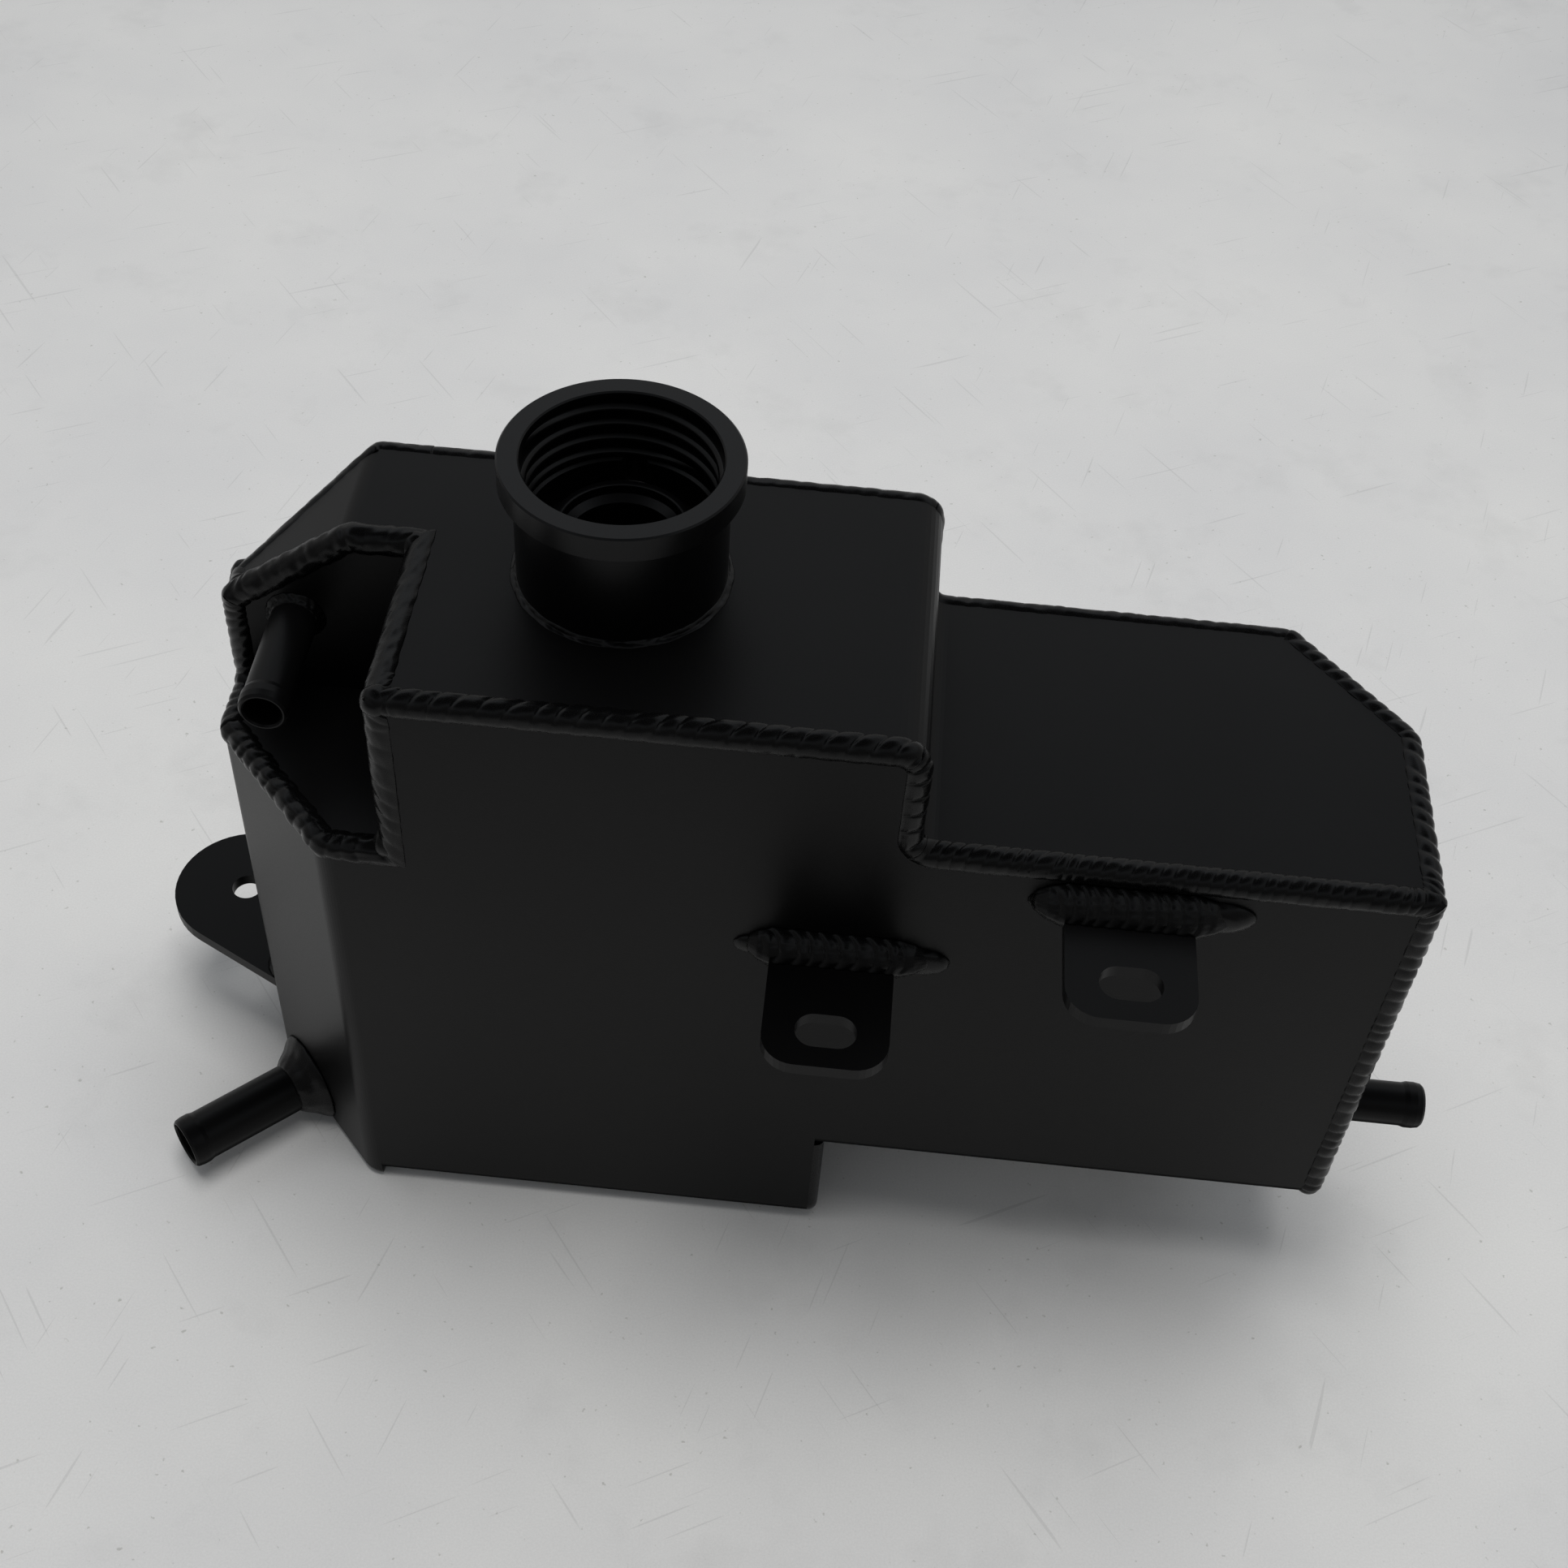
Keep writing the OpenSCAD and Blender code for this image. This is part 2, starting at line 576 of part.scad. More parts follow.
// The upright seams at the right end and at the rear left corner
end_frames = frames([[right_frames[last(2)][0].y, Zb], [0, Zb], [0, Zr]], R - t, R);
module weld_end() {
    run = [for (i = [0:last(1)]) let (f = end_frames[i]) [[L, f[0].x, f[0].y], [0, f[1].x, f[1].y], -X]];
    weld(concat(run, [corner([L, 0, Zr], Y, -X, -Z, Y, -X)]), bead(weld_w));
}
module weld_left_rear() {
    a = -Y / rl_dir.x;
    b = cut_along / rl_dir.x;
    weld([corner([0, YL, 0], a, b, Z, -Y, cut_along), corner([0, YL, Hs], a, b, -Z, -Y, cut_up)],
        bead(0.6 * weld_w, rl_back * rl_dir.x));
}
// The seams round the pocket
module weld_pocket_side() {
    weld([[[Xn, Dn, H], X + Y, -Z], corner([Xn, 0, H], X, -Z, Y, X, -Z)], bead(rim_w));
}
module weld_pocket_rear() {
    run = [for (i = [last(1):-1:first(1)]) let (f = top_frames[i])
        [[f[0].x, Dn, f[0].y], Y, [f[1].x, 0, f[1].y]]];
    weld(concat([[[Xn, Dn, H], X + Y, -Z]], run,
        [corner([0, Dn, Hs], Y, [slope_dir.y, 0, -slope_dir.x], slope_up, Y, -Z)]), bead(rim_w));
}
module weld_pocket_left() {
    weld([corner([0, Dn, Hs], Y, X, -Z, Y, slope_up), [[0, Dn, Zn], Y - Z, X]], bead(rim_w));
}
module weld_pocket_floor() {
    weld(concat([[[Xn, 0, Zn], X - Z, Y]], plan_run(front_frames, Zn, -1, first(1), middle(2))),
        bead(rim_w));
}
module weld_pocket_floor_left() {
    weld(concat([[[0, Dn, Zn], Y - Z, X]], flip(plan_run(front_frames, Zn, -1, middle(2), last(2)))),
        bead(rim_w));
}
module weld_pocket_front() {
    weld([[[Xn, 0, Zn], X - Z, Y], corner([Xn, 0, H], X, Y, -Z, X, Y)], bead(rim_w));
}
// The seams round the undersides, flush with the sheets
module weld_bottom_front() {
    weld(concat(plan_run(front_frames, 0, 1, first(1), last(2)),
        [corner([0, YL, 0], Z, X, -Y, Z, cut_along)]), fill());
}
module weld_bottom_rear() {
    f = left_frames[0][1];
    weld(concat([corner([0, YL, 0], Z, [f.x, f.y, 0], cut_along, Z, -Y)],
        plan_run(left_frames, 0, 1, first(1), last(1)), [corner([Xb, D, 0], Z, -Y, -X, Z, -Y)]), fill());
}
module weld_lower_step() {
    run = frames([[D, 0], [0, 0], [0, Zb + t]], R - t, R);
    difference() {
        weld(concat([corner([Xb, D, 0], Z, -X, -Y, Z, -X)],
            [for (i = [first(1):last(1) + 1]) let (f = run[i])
                [[Xb, f[0].x, f[0].y], [0, f[1].x, f[1].y], -X]]), fill());
        placed() low_block();
    }
}
module weld_lower_step_rear() {
    weld([corner([Xb, D, 0], -Y, -X, Z, -Y, -X), [[Xb, D, Zb], -Y, Z - X]], fill());
}
module weld_bottom_low() {
    weld(concat([[[Xb, D, Zb], Z - X, -Y]], plan_run(right_frames, Zb, 1, first(1), last(2))), fill());
}

// The weld that holds a front tab, its toes running out past the tab's edges. The first of each
// pair is the distance from the middle and the second the size there.
module tab_weld(x, z, toe_left, toe_right) {
    e = tab_width / 2;
    run = [[-e - toe_left, 0.1], [-e - 0.85 * toe_left, 0.45], [-e - 0.5 * toe_left, 0.75], [-e, 1], [e, 1],
        [e + 0.5 * toe_right, 0.75], [e + 0.85 * toe_right, 0.45], [e + toe_right, 0.1]];
    color(weld_black) placed() translate([x, 0, z]) difference() {
        sweep([for (r = run) concat([[r[0], 0, -r[1] * tab_t], [r[0], -0.7 * r[1] * tab_leg, -r[1] * tab_t]],
            [for (i = [0:arc_n]) let (k = i * 90 / arc_n, q = r[1] * tab_leg * (1 - 0.12 * sin(2 * k)))
                [r[0], -q * cos(k), q * sin(k)]])]);
        translate([-e, -3 * tab_leg, -2 * tab_t]) cube([2 * e, 4 * tab_leg, 2 * tab_t]);
    }
}
module weld_left_tab() {
    tab_weld(left_tab_x, left_tab_z, 7, 10);
}
module weld_right_tab() {
    tab_weld(right_tab_x, right_tab_z, 9, 10);
}
// A weld along the side tab's upper face, from p in the direction u and with the wall's outward
// direction v
module side_weld(p, u, v, length) {
    color(weld_black) placed() difference() {
        sweep([for (r = [[0, 0.3], [0.1, 0.8], [0.2, 1], [0.8, 1], [1, 0.9]]) concat([
            [p.x + r[0] * length * u.x, p.y + r[0] * length * u.y, side_tab_z]],
            [for (i = [0:arc_n]) let (k = i * 90 / arc_n, q = r[1] * side_leg * (1 - 0.12 * sin(2 * k)))
                [p.x + r[0] * length * u.x + q * cos(k) * v.x, p.y + r[0] * length * u.y + q * cos(k) * v.y,
                    side_tab_z + q * sin(k)]])]);
        linear_extrude(H) corner_notch();
    }
}
module weld_side_tab_front() {
    side_weld([0, YL - side_tab_seat + 1], [0, 1], [-1, 0], side_tab_seat - 1);
}
module weld_side_tab_rear() {
    side_weld([0, YL] + (side_tab_seat - 1) * rl_dir, -rl_dir, rl_out, side_tab_seat - 1);
}
// Welds round tubes, with the tube's radius, the leg out on the wall and the leg along the tube
module ring_weld(r, out, along) {
    rotate_extrude() polygon(concat([[r, 0]],
        [for (i = [0:arc_n]) let (k = i * 90 / arc_n, q = 1 - 0.12 * sin(2 * k))
            [r + out * q * cos(k), along * q * sin(k)]]));
}
module weld_neck() {
    color(weld_black) placed() translate([neck_x, neck_y, H]) ring_weld(neck_r, neck_leg, neck_leg);
}
module weld_overflow() {
    color(weld_black) placed() difference() {
        at_overflow() translate([0, 0, neck_r - 2]) ring_weld(overflow_r, 2.6, 4.4);
        translate([neck_x, neck_y, H]) cylinder(r = neck_r, h = neck_height);
        at_overflow() cylinder(r = overflow_r, h = overflow_reach);
    }
}
module weld_pocket_spigot() {
    color(weld_black) placed() at_pocket_spigot() ring_weld(hose_r, spigot_leg, spigot_leg);
}
module weld_corner_spigot() {
    color(weld_black) placed() difference() {
        at_corner_spigot() ring_weld(corner_spigot_r, corner_leg, 1.2 * corner_leg);
        translate([-far, -far, -far]) cube([2 * far, 2 * far, far]);
    }
}
module weld_end_spigot() {
    color(weld_black) placed() at_end_spigot() ring_weld(hose_r, spigot_leg, spigot_leg);
}

front_sheet();
rear_sheet();
top_sheet();
lower_step_panel();
pocket_floor();
pocket_side();
pocket_rear();
filler_neck();
overflow_spigot();
pocket_spigot();
corner_spigot();
end_spigot();
left_tab();
right_tab();
side_tab();
weld_top_front();
weld_step_front();
weld_low_front();
weld_end();
weld_end_top();
weld_low_rear();
weld_step_rear();
weld_top_rear();
weld_slope_rear();
weld_left_top();
weld_left_rear();
weld_pocket_side();
weld_pocket_rear();
weld_pocket_left();
weld_pocket_floor();
weld_pocket_floor_left();
weld_pocket_front();
weld_bottom_front();
weld_bottom_rear();
weld_bottom_low();
weld_lower_step();
weld_lower_step_rear();
weld_left_tab();
weld_right_tab();
weld_side_tab_front();
weld_side_tab_rear();
weld_neck();
weld_overflow();
weld_pocket_spigot();
weld_corner_spigot();
weld_end_spigot();
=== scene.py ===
import math
import bmesh
import bpy
import numpy as np
from mathutils import Matrix, Vector


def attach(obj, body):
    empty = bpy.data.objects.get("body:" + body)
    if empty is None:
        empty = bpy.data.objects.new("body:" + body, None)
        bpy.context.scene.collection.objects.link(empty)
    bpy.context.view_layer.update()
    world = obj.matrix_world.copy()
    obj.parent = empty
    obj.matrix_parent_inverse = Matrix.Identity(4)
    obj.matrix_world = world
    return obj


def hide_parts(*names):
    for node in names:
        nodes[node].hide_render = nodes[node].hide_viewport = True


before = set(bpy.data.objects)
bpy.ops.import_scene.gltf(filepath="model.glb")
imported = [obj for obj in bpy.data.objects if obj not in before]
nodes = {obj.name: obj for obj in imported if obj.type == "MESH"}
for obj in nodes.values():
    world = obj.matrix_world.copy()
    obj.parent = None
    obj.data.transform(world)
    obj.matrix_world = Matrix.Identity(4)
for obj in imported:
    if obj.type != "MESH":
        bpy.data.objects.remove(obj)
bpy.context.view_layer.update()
scene = bpy.context.scene

# Sizes of the tank in millimetres, from the left wall, the front face and the ground
tank_length = 325.5
tank_depth = 98.0
tall_height = 218.0
low_height = 181.5
low_bottom = 39.5
foot_length = 177.0
step_x = 191.5
sheet = 3.0
fold_r = 8.0

# The pocket's side, rear and floor
pocket_x = 53.0
pocket_y = 57.5
pocket_z = 161.0

# The slope's width and the height of its foot, and the cut corners' sizes along x and y
slope_width = 35.5
slope_foot = 192.0
front_cut = (36.0, 39.5)
rear_left = 29.5
rear_right = (32.0, 37.5)
left_y = tank_depth - rear_left
right_y = tank_depth - rear_right[1]

# Welds, and the tabs and tubes that they hold
weld_w = 5.6
pocket_weld_w = 6.2
tab_leg = 7.2
tab_w = 33.5
tab_t = 4.0
left_tab_x = 173
left_tab_z = 139
right_tab_x = tank_length - 78
right_tab_z = 168.5
thin_tube_r = 6.35
thick_tube_r = 7.95
pocket_spigot_at = (19.5, pocket_y, tall_height - 30.6)
end_spigot_at = (tank_length, 14.5, 74)
corner_spigot_along = 36
corner_spigot_z = 12.0
neck_at = (109.0, 54.5)
neck_r = 27.3
neck_top = 256.0

# Steps round a fold, and across a bead, a fillet and a collar
arc_steps = 16
bead_steps = 26
fillet_steps = 22
collar_steps = 14

# A power below 1 leans the ripples over
ripple_lean = 0.75

X, Y, Z = np.eye(3)


# Camera, from the photograph's perspective
def photo_camera():
    """The angles, the place and the focal length in pixels are those of the fit to the photograph."""
    turn_x, turn_y, turn_z = 0.8348725, 0.0271091, 0.0784812
    place = Vector((0.077561, -0.404574, 0.595413))
    focal_length = 2651.543
    photo_width = 1932
    cos_x, sin_x = math.cos(turn_x), math.sin(turn_x)
    cos_y, sin_y = math.cos(turn_y), math.sin(turn_y)
    cos_z, sin_z = math.cos(turn_z), math.sin(turn_z)
    about_x = Matrix(((1, 0, 0), (0, cos_x, -sin_x), (0, sin_x, cos_x)))
    about_y = Matrix(((cos_y, 0, sin_y), (0, 1, 0), (-sin_y, 0, cos_y)))
    about_z = Matrix(((cos_z, -sin_z, 0), (sin_z, cos_z, 0), (0, 0, 1)))
    image_axes = Matrix(((1, 0, 0), (0, 0, -1), (0, 1, 0)))
    rows = about_z @ about_x @ about_y @ image_axes
    data = bpy.data.cameras.new("photo_camera")
    data.sensor_width = 36
    data.sensor_fit = "HORIZONTAL"
    data.lens = focal_length / photo_width * data.sensor_width
    data.clip_start = 0.01
    camera = bpy.data.objects.new("photo_camera", data)
    turned = Matrix((rows[0], -rows[1], -rows[2])).transposed().to_4x4()
    camera.matrix_world = Matrix.Translation(place) @ turned
    scene.collection.objects.link(camera)
    scene.camera = camera


photo_camera()


# Shader nodes
def material(name):
    """A new material with its node tree and its shader."""
    m = bpy.data.materials.new(name)
    m.use_nodes = True
    return m, m.node_tree, m.node_tree.nodes["Principled BSDF"]


def node(tree, kind, **settings):
    n = tree.nodes.new(kind)
    for key, value in settings.items():
        setattr(n, key, value)
    return n


def noise(tree, place, scale, detail, roughness=0.5):
    n = node(tree, "ShaderNodeTexNoise")
    n.inputs["Scale"].default_value = scale
    n.inputs["Detail"].default_value = detail
    n.inputs["Roughness"].default_value = roughness
    tree.links.new(place, n.inputs["Vector"])
    return n.outputs["Fac"]


def ramp(tree, value, stops):
    """A colour from a value, by pairs of position and colour."""
    n = node(tree, "ShaderNodeValToRGB")
    elements = n.color_ramp.elements
    while len(elements) < len(stops):
        elements.new(0.5)
    for element, (position, colour) in zip(elements, stops):
        element.position = position
        element.color = (*colour, 1)
    tree.links.new(value, n.inputs["Fac"])
    return n.outputs["Color"]


def map_range(tree, value, source, target):
    """The value, mapped from the source range to the target range."""
    n = node(tree, "ShaderNodeMapRange")
    n.inputs["From Min"].default_value = source[0]
    n.inputs["From Max"].default_value = source[1]
    n.inputs["To Min"].default_value = target[0]
    n.inputs["To Max"].default_value = target[1]
    tree.links.new(value, n.inputs["Value"])
    return n.outputs["Result"]


def multiplied(tree, a, b):
    """Two colours, multiplied."""
    n = node(tree, "ShaderNodeMix", data_type="RGBA", blend_type="MULTIPLY")
    n.inputs[0].default_value = 1.0
    tree.links.new(a, n.inputs[6])
    tree.links.new(b, n.inputs[7])
    return n.outputs[2]


# Materials of the tank
def coat(name, colour, roughness, grain, specular):
    """Satin powder coat: a fine grain in bump and roughness, and slight cloudiness in colour."""
    cloud_scale = 18
    grain_scale = 2600
    rough_spread = 0.06
    grain_height = 0.00008
    m, tree, shader = material(name)
    place = node(tree, "ShaderNodeTexCoord").outputs["Object"]
    cloud = noise(tree, place, cloud_scale, 3)
    fine = noise(tree, place, grain_scale, 2, 0.6)
    darker = [c * 0.75 for c in colour]
    lighter = [c * 1.3 for c in colour]
    tree.links.new(ramp(tree, cloud, [(0.3, darker), (0.7, lighter)]), shader.inputs["Base Color"])
    rough = map_range(tree, fine, (0, 1), (roughness - rough_spread, roughness + rough_spread))
    tree.links.new(rough, shader.inputs["Roughness"])
    bump = node(tree, "ShaderNodeBump")
    bump.inputs["Strength"].default_value = grain
    bump.inputs["Distance"].default_value = grain_height
    tree.links.new(fine, bump.inputs["Height"])
    tree.links.new(bump.outputs["Normal"], shader.inputs["Normal"])
    shader.inputs["Specular IOR Level"].default_value = specular
    return m


def dull_below(m, extra_rough):
    """The coat is rougher where a surface turns downwards, as on the folds along the undersides."""
    tree = m.node_tree
    roughness = tree.nodes["Principled BSDF"].inputs["Roughness"]
    axes = node(tree, "ShaderNodeSeparateXYZ")
    tree.links.new(node(tree, "ShaderNodeNewGeometry").outputs["Normal"], axes.inputs[0])
    added = map_range(tree, axes.outputs["Z"], (-0.3, -0.04), (extra_rough, 0))
    total = node(tree, "ShaderNodeMath", operation="ADD")
    tree.links.new(roughness.links[0].from_socket, total.inputs[0])
    tree.links.new(added, total.inputs[1])
    tree.links.new(total.outputs[0], roughness)


sheet_coat = coat("powder_coat", (0.0018, 0.0018, 0.0019), 0.38, grain=0.25, specular=0.145)
weld_coat = coat("weld_coat", (0.0014, 0.0014, 0.0015), 0.28, grain=0.25, specular=0.2)
turned_coat = coat("turned_coat", (0.0012, 0.0012, 0.0014), 0.3, grain=0.1, specular=0.2)
dull_below(sheet_coat, 0.6)
for name, solid in nodes.items():
    solid.data.materials.clear()
    if name == "filler_neck":
        solid.data.materials.append(turned_coat)
    elif name.startswith("weld"):
        solid.data.materials.append(weld_coat)
    else:
        solid.data.materials.append(sheet_coat)


# Outlines with rounded corners, as pairs of a point and the direction to the outline's right
def unit(v):
    v = np.array(v, float)
    return v / np.linalg.norm(v)


def turn(v):
    return np.array([-v[1], v[0]])


def cross2(u, v):
    return u[0] * v[1] - u[1] * v[0]


def round_frames(a, b, c, r):
    """The arc at b on the way from a to c."""
    u, v = unit(a - b), unit(c - b)
    half = math.acos(max(-1, min(1, u @ v))) / 2
    centre = b + unit(u + v) * r / math.sin(half)
    start = b + u * r / math.tan(half) - centre
    end = b + v * r / math.tan(half) - centre
    angle = math.atan2(start[1], start[0])
    sweep = (math.atan2(end[1], end[0]) - angle + math.pi) % (2 * math.pi) - math.pi
    side = 1 if cross2(b - a, c - b) > 0 else -1
    angles = [angle + sweep * i / arc_steps for i in range(arc_steps + 1)]
    spokes = [np.array([math.cos(q), math.sin(q)]) for q in angles]
    return [(centre + r * spoke, side * spoke) for spoke in spokes]


def frames(points, left_turn_r, right_turn_r):
    """The outline through the points, with one radius for left turns and one for right turns."""
    p = [np.array(q, float) for q in points]
    out = [(p[0], -turn(unit(p[1] - p[0])))]
    for a, b, c in zip(p, p[1:], p[2:]):
        out += round_frames(a, b, c, left_turn_r if cross2(b - a, c - b) > 0 else right_turn_r)
    return out + [(p[-1], -turn(unit(p[-1] - p[-2])))]


def first(k):
    """The place in the frames where the arc at corner k starts."""
    return 1 + (k - 1) * (arc_steps + 1)


def middle(k):
    return first(k) + arc_steps // 2


def last(k):
    return first(k) + arc_steps


def moved(points, distance):
    """The outline, moved to its right."""
    p = [np.array(q, float) for q in points]
    out = []
    for i in range(len(p)):
        u = unit(p[i] - p[i - 1]) if i > 0 else unit(p[1] - p[0])
        v = unit(p[i + 1] - p[i]) if i < len(p) - 1 else u
        out.append(p[i] - (turn(u) + turn(v)) * distance / (1 + u @ v))
    return out


# The outlines of the top in x and z, and of the walls in x and y. Over is how far the top's line
# runs past the tank's ends.
over = 50
slope_dir = unit([slope_width, tall_height - slope_foot])
left_cut_dir = unit([slope_width, rear_left])
top_line = [
    (-over * slope_dir[0], slope_foot - over * slope_dir[1]),
    (slope_width, tall_height),
    (step_x, tall_height),
    (step_x, low_height),
    (tank_length + over, low_height),
]
plan = [
    (front_cut[0], 0),
    (0, front_cut[1]),
    (0, left_y),
    (slope_width, tank_depth),
    (tank_length - rear_right[0], tank_depth),
    (tank_length, right_y),
    (tank_length, 0),
]
top_frames = frames(top_line, fold_r - sheet, fold_r)
top_inner = [f[0] for f in frames(moved(top_line, sheet), fold_r, fold_r - sheet)]
front_frames = frames([(tank_length, 0), plan[0], plan[1], plan[2]], fold_r - sheet, fold_r)
left_frames = frames([plan[2], plan[3], plan[4]], fold_r - sheet, fold_r)
right_frames = frames([plan[3], plan[4], plan[5], plan[6]], fold_r - sheet, fold_r)
end_line = [(right_frames[last(2)][0][1], low_bottom), (0, low_bottom), (0, low_height)]
end_frames = frames(end_line, fold_r - sheet, fold_r)


# Stations of the seams. Each holds the corner point, the directions into its two faces and, where
# three seams meet, the direction along the seam and how far its points move that way.
def top_run(y, inward, start, end):
    """Along the top's outline; inward is 1 at the front and -1 at the rear."""
    return [(np.array([x, y, z]), np.array([in_x, 0, in_z]), inward * Y)
            for (x, z), (in_x, in_z) in top_frames[start : end + 1]]


def plan_run(line, z, start, end):
    """Along the walls' outline at the height z."""
    return [(np.array([x, y, z]), -Z, np.array([in_x, in_y, 0]))
            for (x, y), (in_x, in_y) in line[start : end + 1]]


def pocket_run():
    """Along the top's outline at the pocket's rear, down the slope."""
    return [(np.array([x, pocket_y, z]), Y, np.array([in_x, 0, in_z]))
            for (x, z), (in_x, in_z) in reversed(top_frames[first(1) : last(1) + 1])]


def end_run():
    """Up the tank's right end."""
    return [(np.array([tank_length, y, z]), np.array([0, in_y, in_z]), -X)
            for (y, z), (in_y, in_z) in end_frames[: last(1) + 1]]


def height_at(line, x):
    return np.interp(x, [q[0] for q in line], [q[1] for q in line])


def slope_station(f):
    """Along the upper edge of the rear left cut, where the sheets meet at a slant."""
    (x, y), (in_x, in_y) = f
    outer = [q[0] for q in top_frames[: first(2) + 1]]
    inner = top_inner[: first(2) + 1]
    z = height_at(outer, x)
    z_inner = height_at(inner, x)
    z_beyond = height_at(inner, x + sheet * in_x)
    wall_dir = np.array([0, 0, (z_inner - z) / sheet])
    top_dir = np.array([in_x, in_y, (z_beyond - z_inner) / sheet])
    return np.array([x, y, z]), wall_dir, top_dir


def meet(a, along, other):
    """How far, for each unit of a, a seam's point moves along it to the plane midway to another seam."""
    midway = unit(other) + along
    normal = np.cross(along, midway)
    return -(np.cross(a, midway) @ normal) / (normal @ normal)


def corner(point, a, b, along, a_seam, b_seam):
    """A station where three seams meet; a_seam and b_seam are the directions of the other two."""
    point, a, b, along = (np.array(v, float) for v in (point, a, b, along))
    a_seam, b_seam = np.array(a_seam, float), np.array(b_seam, float)
    normal = unit(np.cross(a_seam, b_seam))
    if normal @ along <= 0:
        normal = -normal
    both = (1 - normal @ (a + b)) / (normal @ along)
    return point, a, b, along, (meet(a, along, a_seam), meet(b, along, b_seam), both)


def shift(p, q, moves):
    """The move along the seam of a point that lies p along the first face and q along the second."""
    a_move, b_move, both = moves
    return np.where(p >= q, p * a_move + q * (both - a_move), q * b_move + p * (both - b_move))


# Meshes
def tank(v):
    """From the tank's millimetres to the frame's metres."""
    return (np.asarray(v, float) - [foot_length / 2, tank_depth / 2, 0]) / 1000


def mesh_piece(name, verts, faces, replaces=None, mat=weld_coat):
    me = bpy.data.meshes.new(name)
    me.from_pydata(tank(verts).tolist(), [], [tuple(int(i) for i in f) for f in faces])
    me.validate()
    bm = bmesh.new()
    bm.from_mesh(me)
    bmesh.ops.recalc_face_normals(bm, faces=bm.faces)
    bm.to_mesh(me)
    bm.free()
    me.polygons.foreach_set("use_smooth", [True] * len(me.polygons))
    o = bpy.data.objects.new(name, me)
    scene.collection.objects.link(o)
    o.data.materials.append(mat)
    if replaces:
        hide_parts(replaces)
    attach(o, "root")
    return o


def bead_name(node_name):
    return node_name.replace("weld_", "bead_", 1)


def grid_quads(rows, points):
    """The faces of a tube of rows, with the last point of each row joined to its first."""
    i, j = np.meshgrid(np.arange(rows - 1), np.arange(points), indexing="ij")
    k = (j + 1) % points
    corners = [i * points + j, (i + 1) * points + j, (i + 1) * points + k, i * points + k]
    return np.stack(corners, -1).reshape(-1, 4).tolist()


def ring_quads(rows, points):
    """The faces of a ring: a tube whose last row is joined to its first."""
    return [[q % (rows * points) for q in face] for face in grid_quads(rows + 1, points)]


def fan(base, start, end):
    """Triangles from one point of a row to the others."""
    return [[base, j, j + 1] for j in range(start, end)]


# Ripples and lumps of the welds
def wander(s, step, seed):
    """A smooth random line between -1 and 1."""
    knots = np.random.default_rng(seed).uniform(-1, 1, int((s.max() - s.min()) / step) + 4)
    q = (s - s.min()) / step
    i = q.astype(int)
    blend = (1 - np.cos((q - i) * math.pi)) / 2
    return knots[i] * (1 - blend) + knots[i + 1] * blend


def lumpy(s, k, scale, seed):
    """Smooth random lumps over a strip, between about -1 and 1: waves in seven directions."""
    random = np.random.default_rng(seed)
    out = 0
    for n in range(7):
        heading = random.uniform(0, 2 * math.pi)
        frequency = (0.6 + 0.25 * n) / scale
        place = s * math.cos(heading) + k * math.sin(heading) * 1.6
        out = out + np.sin(2 * math.pi * frequency * place + random.uniform(0, 6.3)) / (1 + 0.3 * n)
    return out / 3.2


def scales(s, k, pitch, skew, curve, seed, irregular=0.3, sharp=1.0, bend=2):
    """Overlapping ripples, 0 on a crest and 1 between two; k runs over the bead from -1 to 1."""
    line = s + skew * k - curve * (1 - np.abs(k) ** bend)
    line = line + irregular * pitch * wander(s, 1.7 * pitch, seed)
    share = np.mod(line / pitch, 1.0)
    return np.abs(2 * share**ripple_lean - 1) ** (2 * sharp)


# Beads along the seams
def along_seam(stations):
    """The seam's length, and a function from distance to the corner point and the two directions."""
    points = np.array([q[0] for q in stations])
    first_dirs = np.array([q[1] for q in stations])
    second_dirs = np.array([q[2] for q in stations])
    reach = np.r_[0, np.cumsum(np.linalg.norm(np.diff(points, axis=0), axis=1))]
    start_dir = unit(points[1] - points[0])
    end_dir = unit(points[-1] - points[-2])

    def at(s, values):
        return np.stack([np.interp(s, reach, values[:, i]) for i in range(3)], -1)

    def place(s):
        before = np.minimum(s, 0)[..., None] * start_dir
        beyond = np.maximum(s - reach[-1], 0)[..., None] * end_dir
        return at(s, points) + before + beyond, at(s, first_dirs), at(s, second_dirs)

    return reach[-1], place


def end_shift(end, neighbour, p, q):
    """The moves into the seam at one of its ends."""
    into = unit(neighbour[0] - end[0])
    return shift(p, q, end[4]) * np.sign(into @ end[3])


def mitred(s, total, stations, p, q):
    """Distances along the seam, moved near a corner of three seams.

    The bead then ends in the planes midway to the other two.
    """
    longest_room = 9.0
    room = min(longest_room, total / 2)
    if len(stations[0]) == 5:
        move = end_shift(stations[0], stations[1], p, q)
        s = np.where(s < room, move + s * (room - move) / room, s)
    if len(stations[-1]) == 5:
        move = end_shift(stations[-1], stations[-2], p, q)
        back = total - s
        s = np.where(back < room, total - (move + back * (room - move) / room), s)
    return s


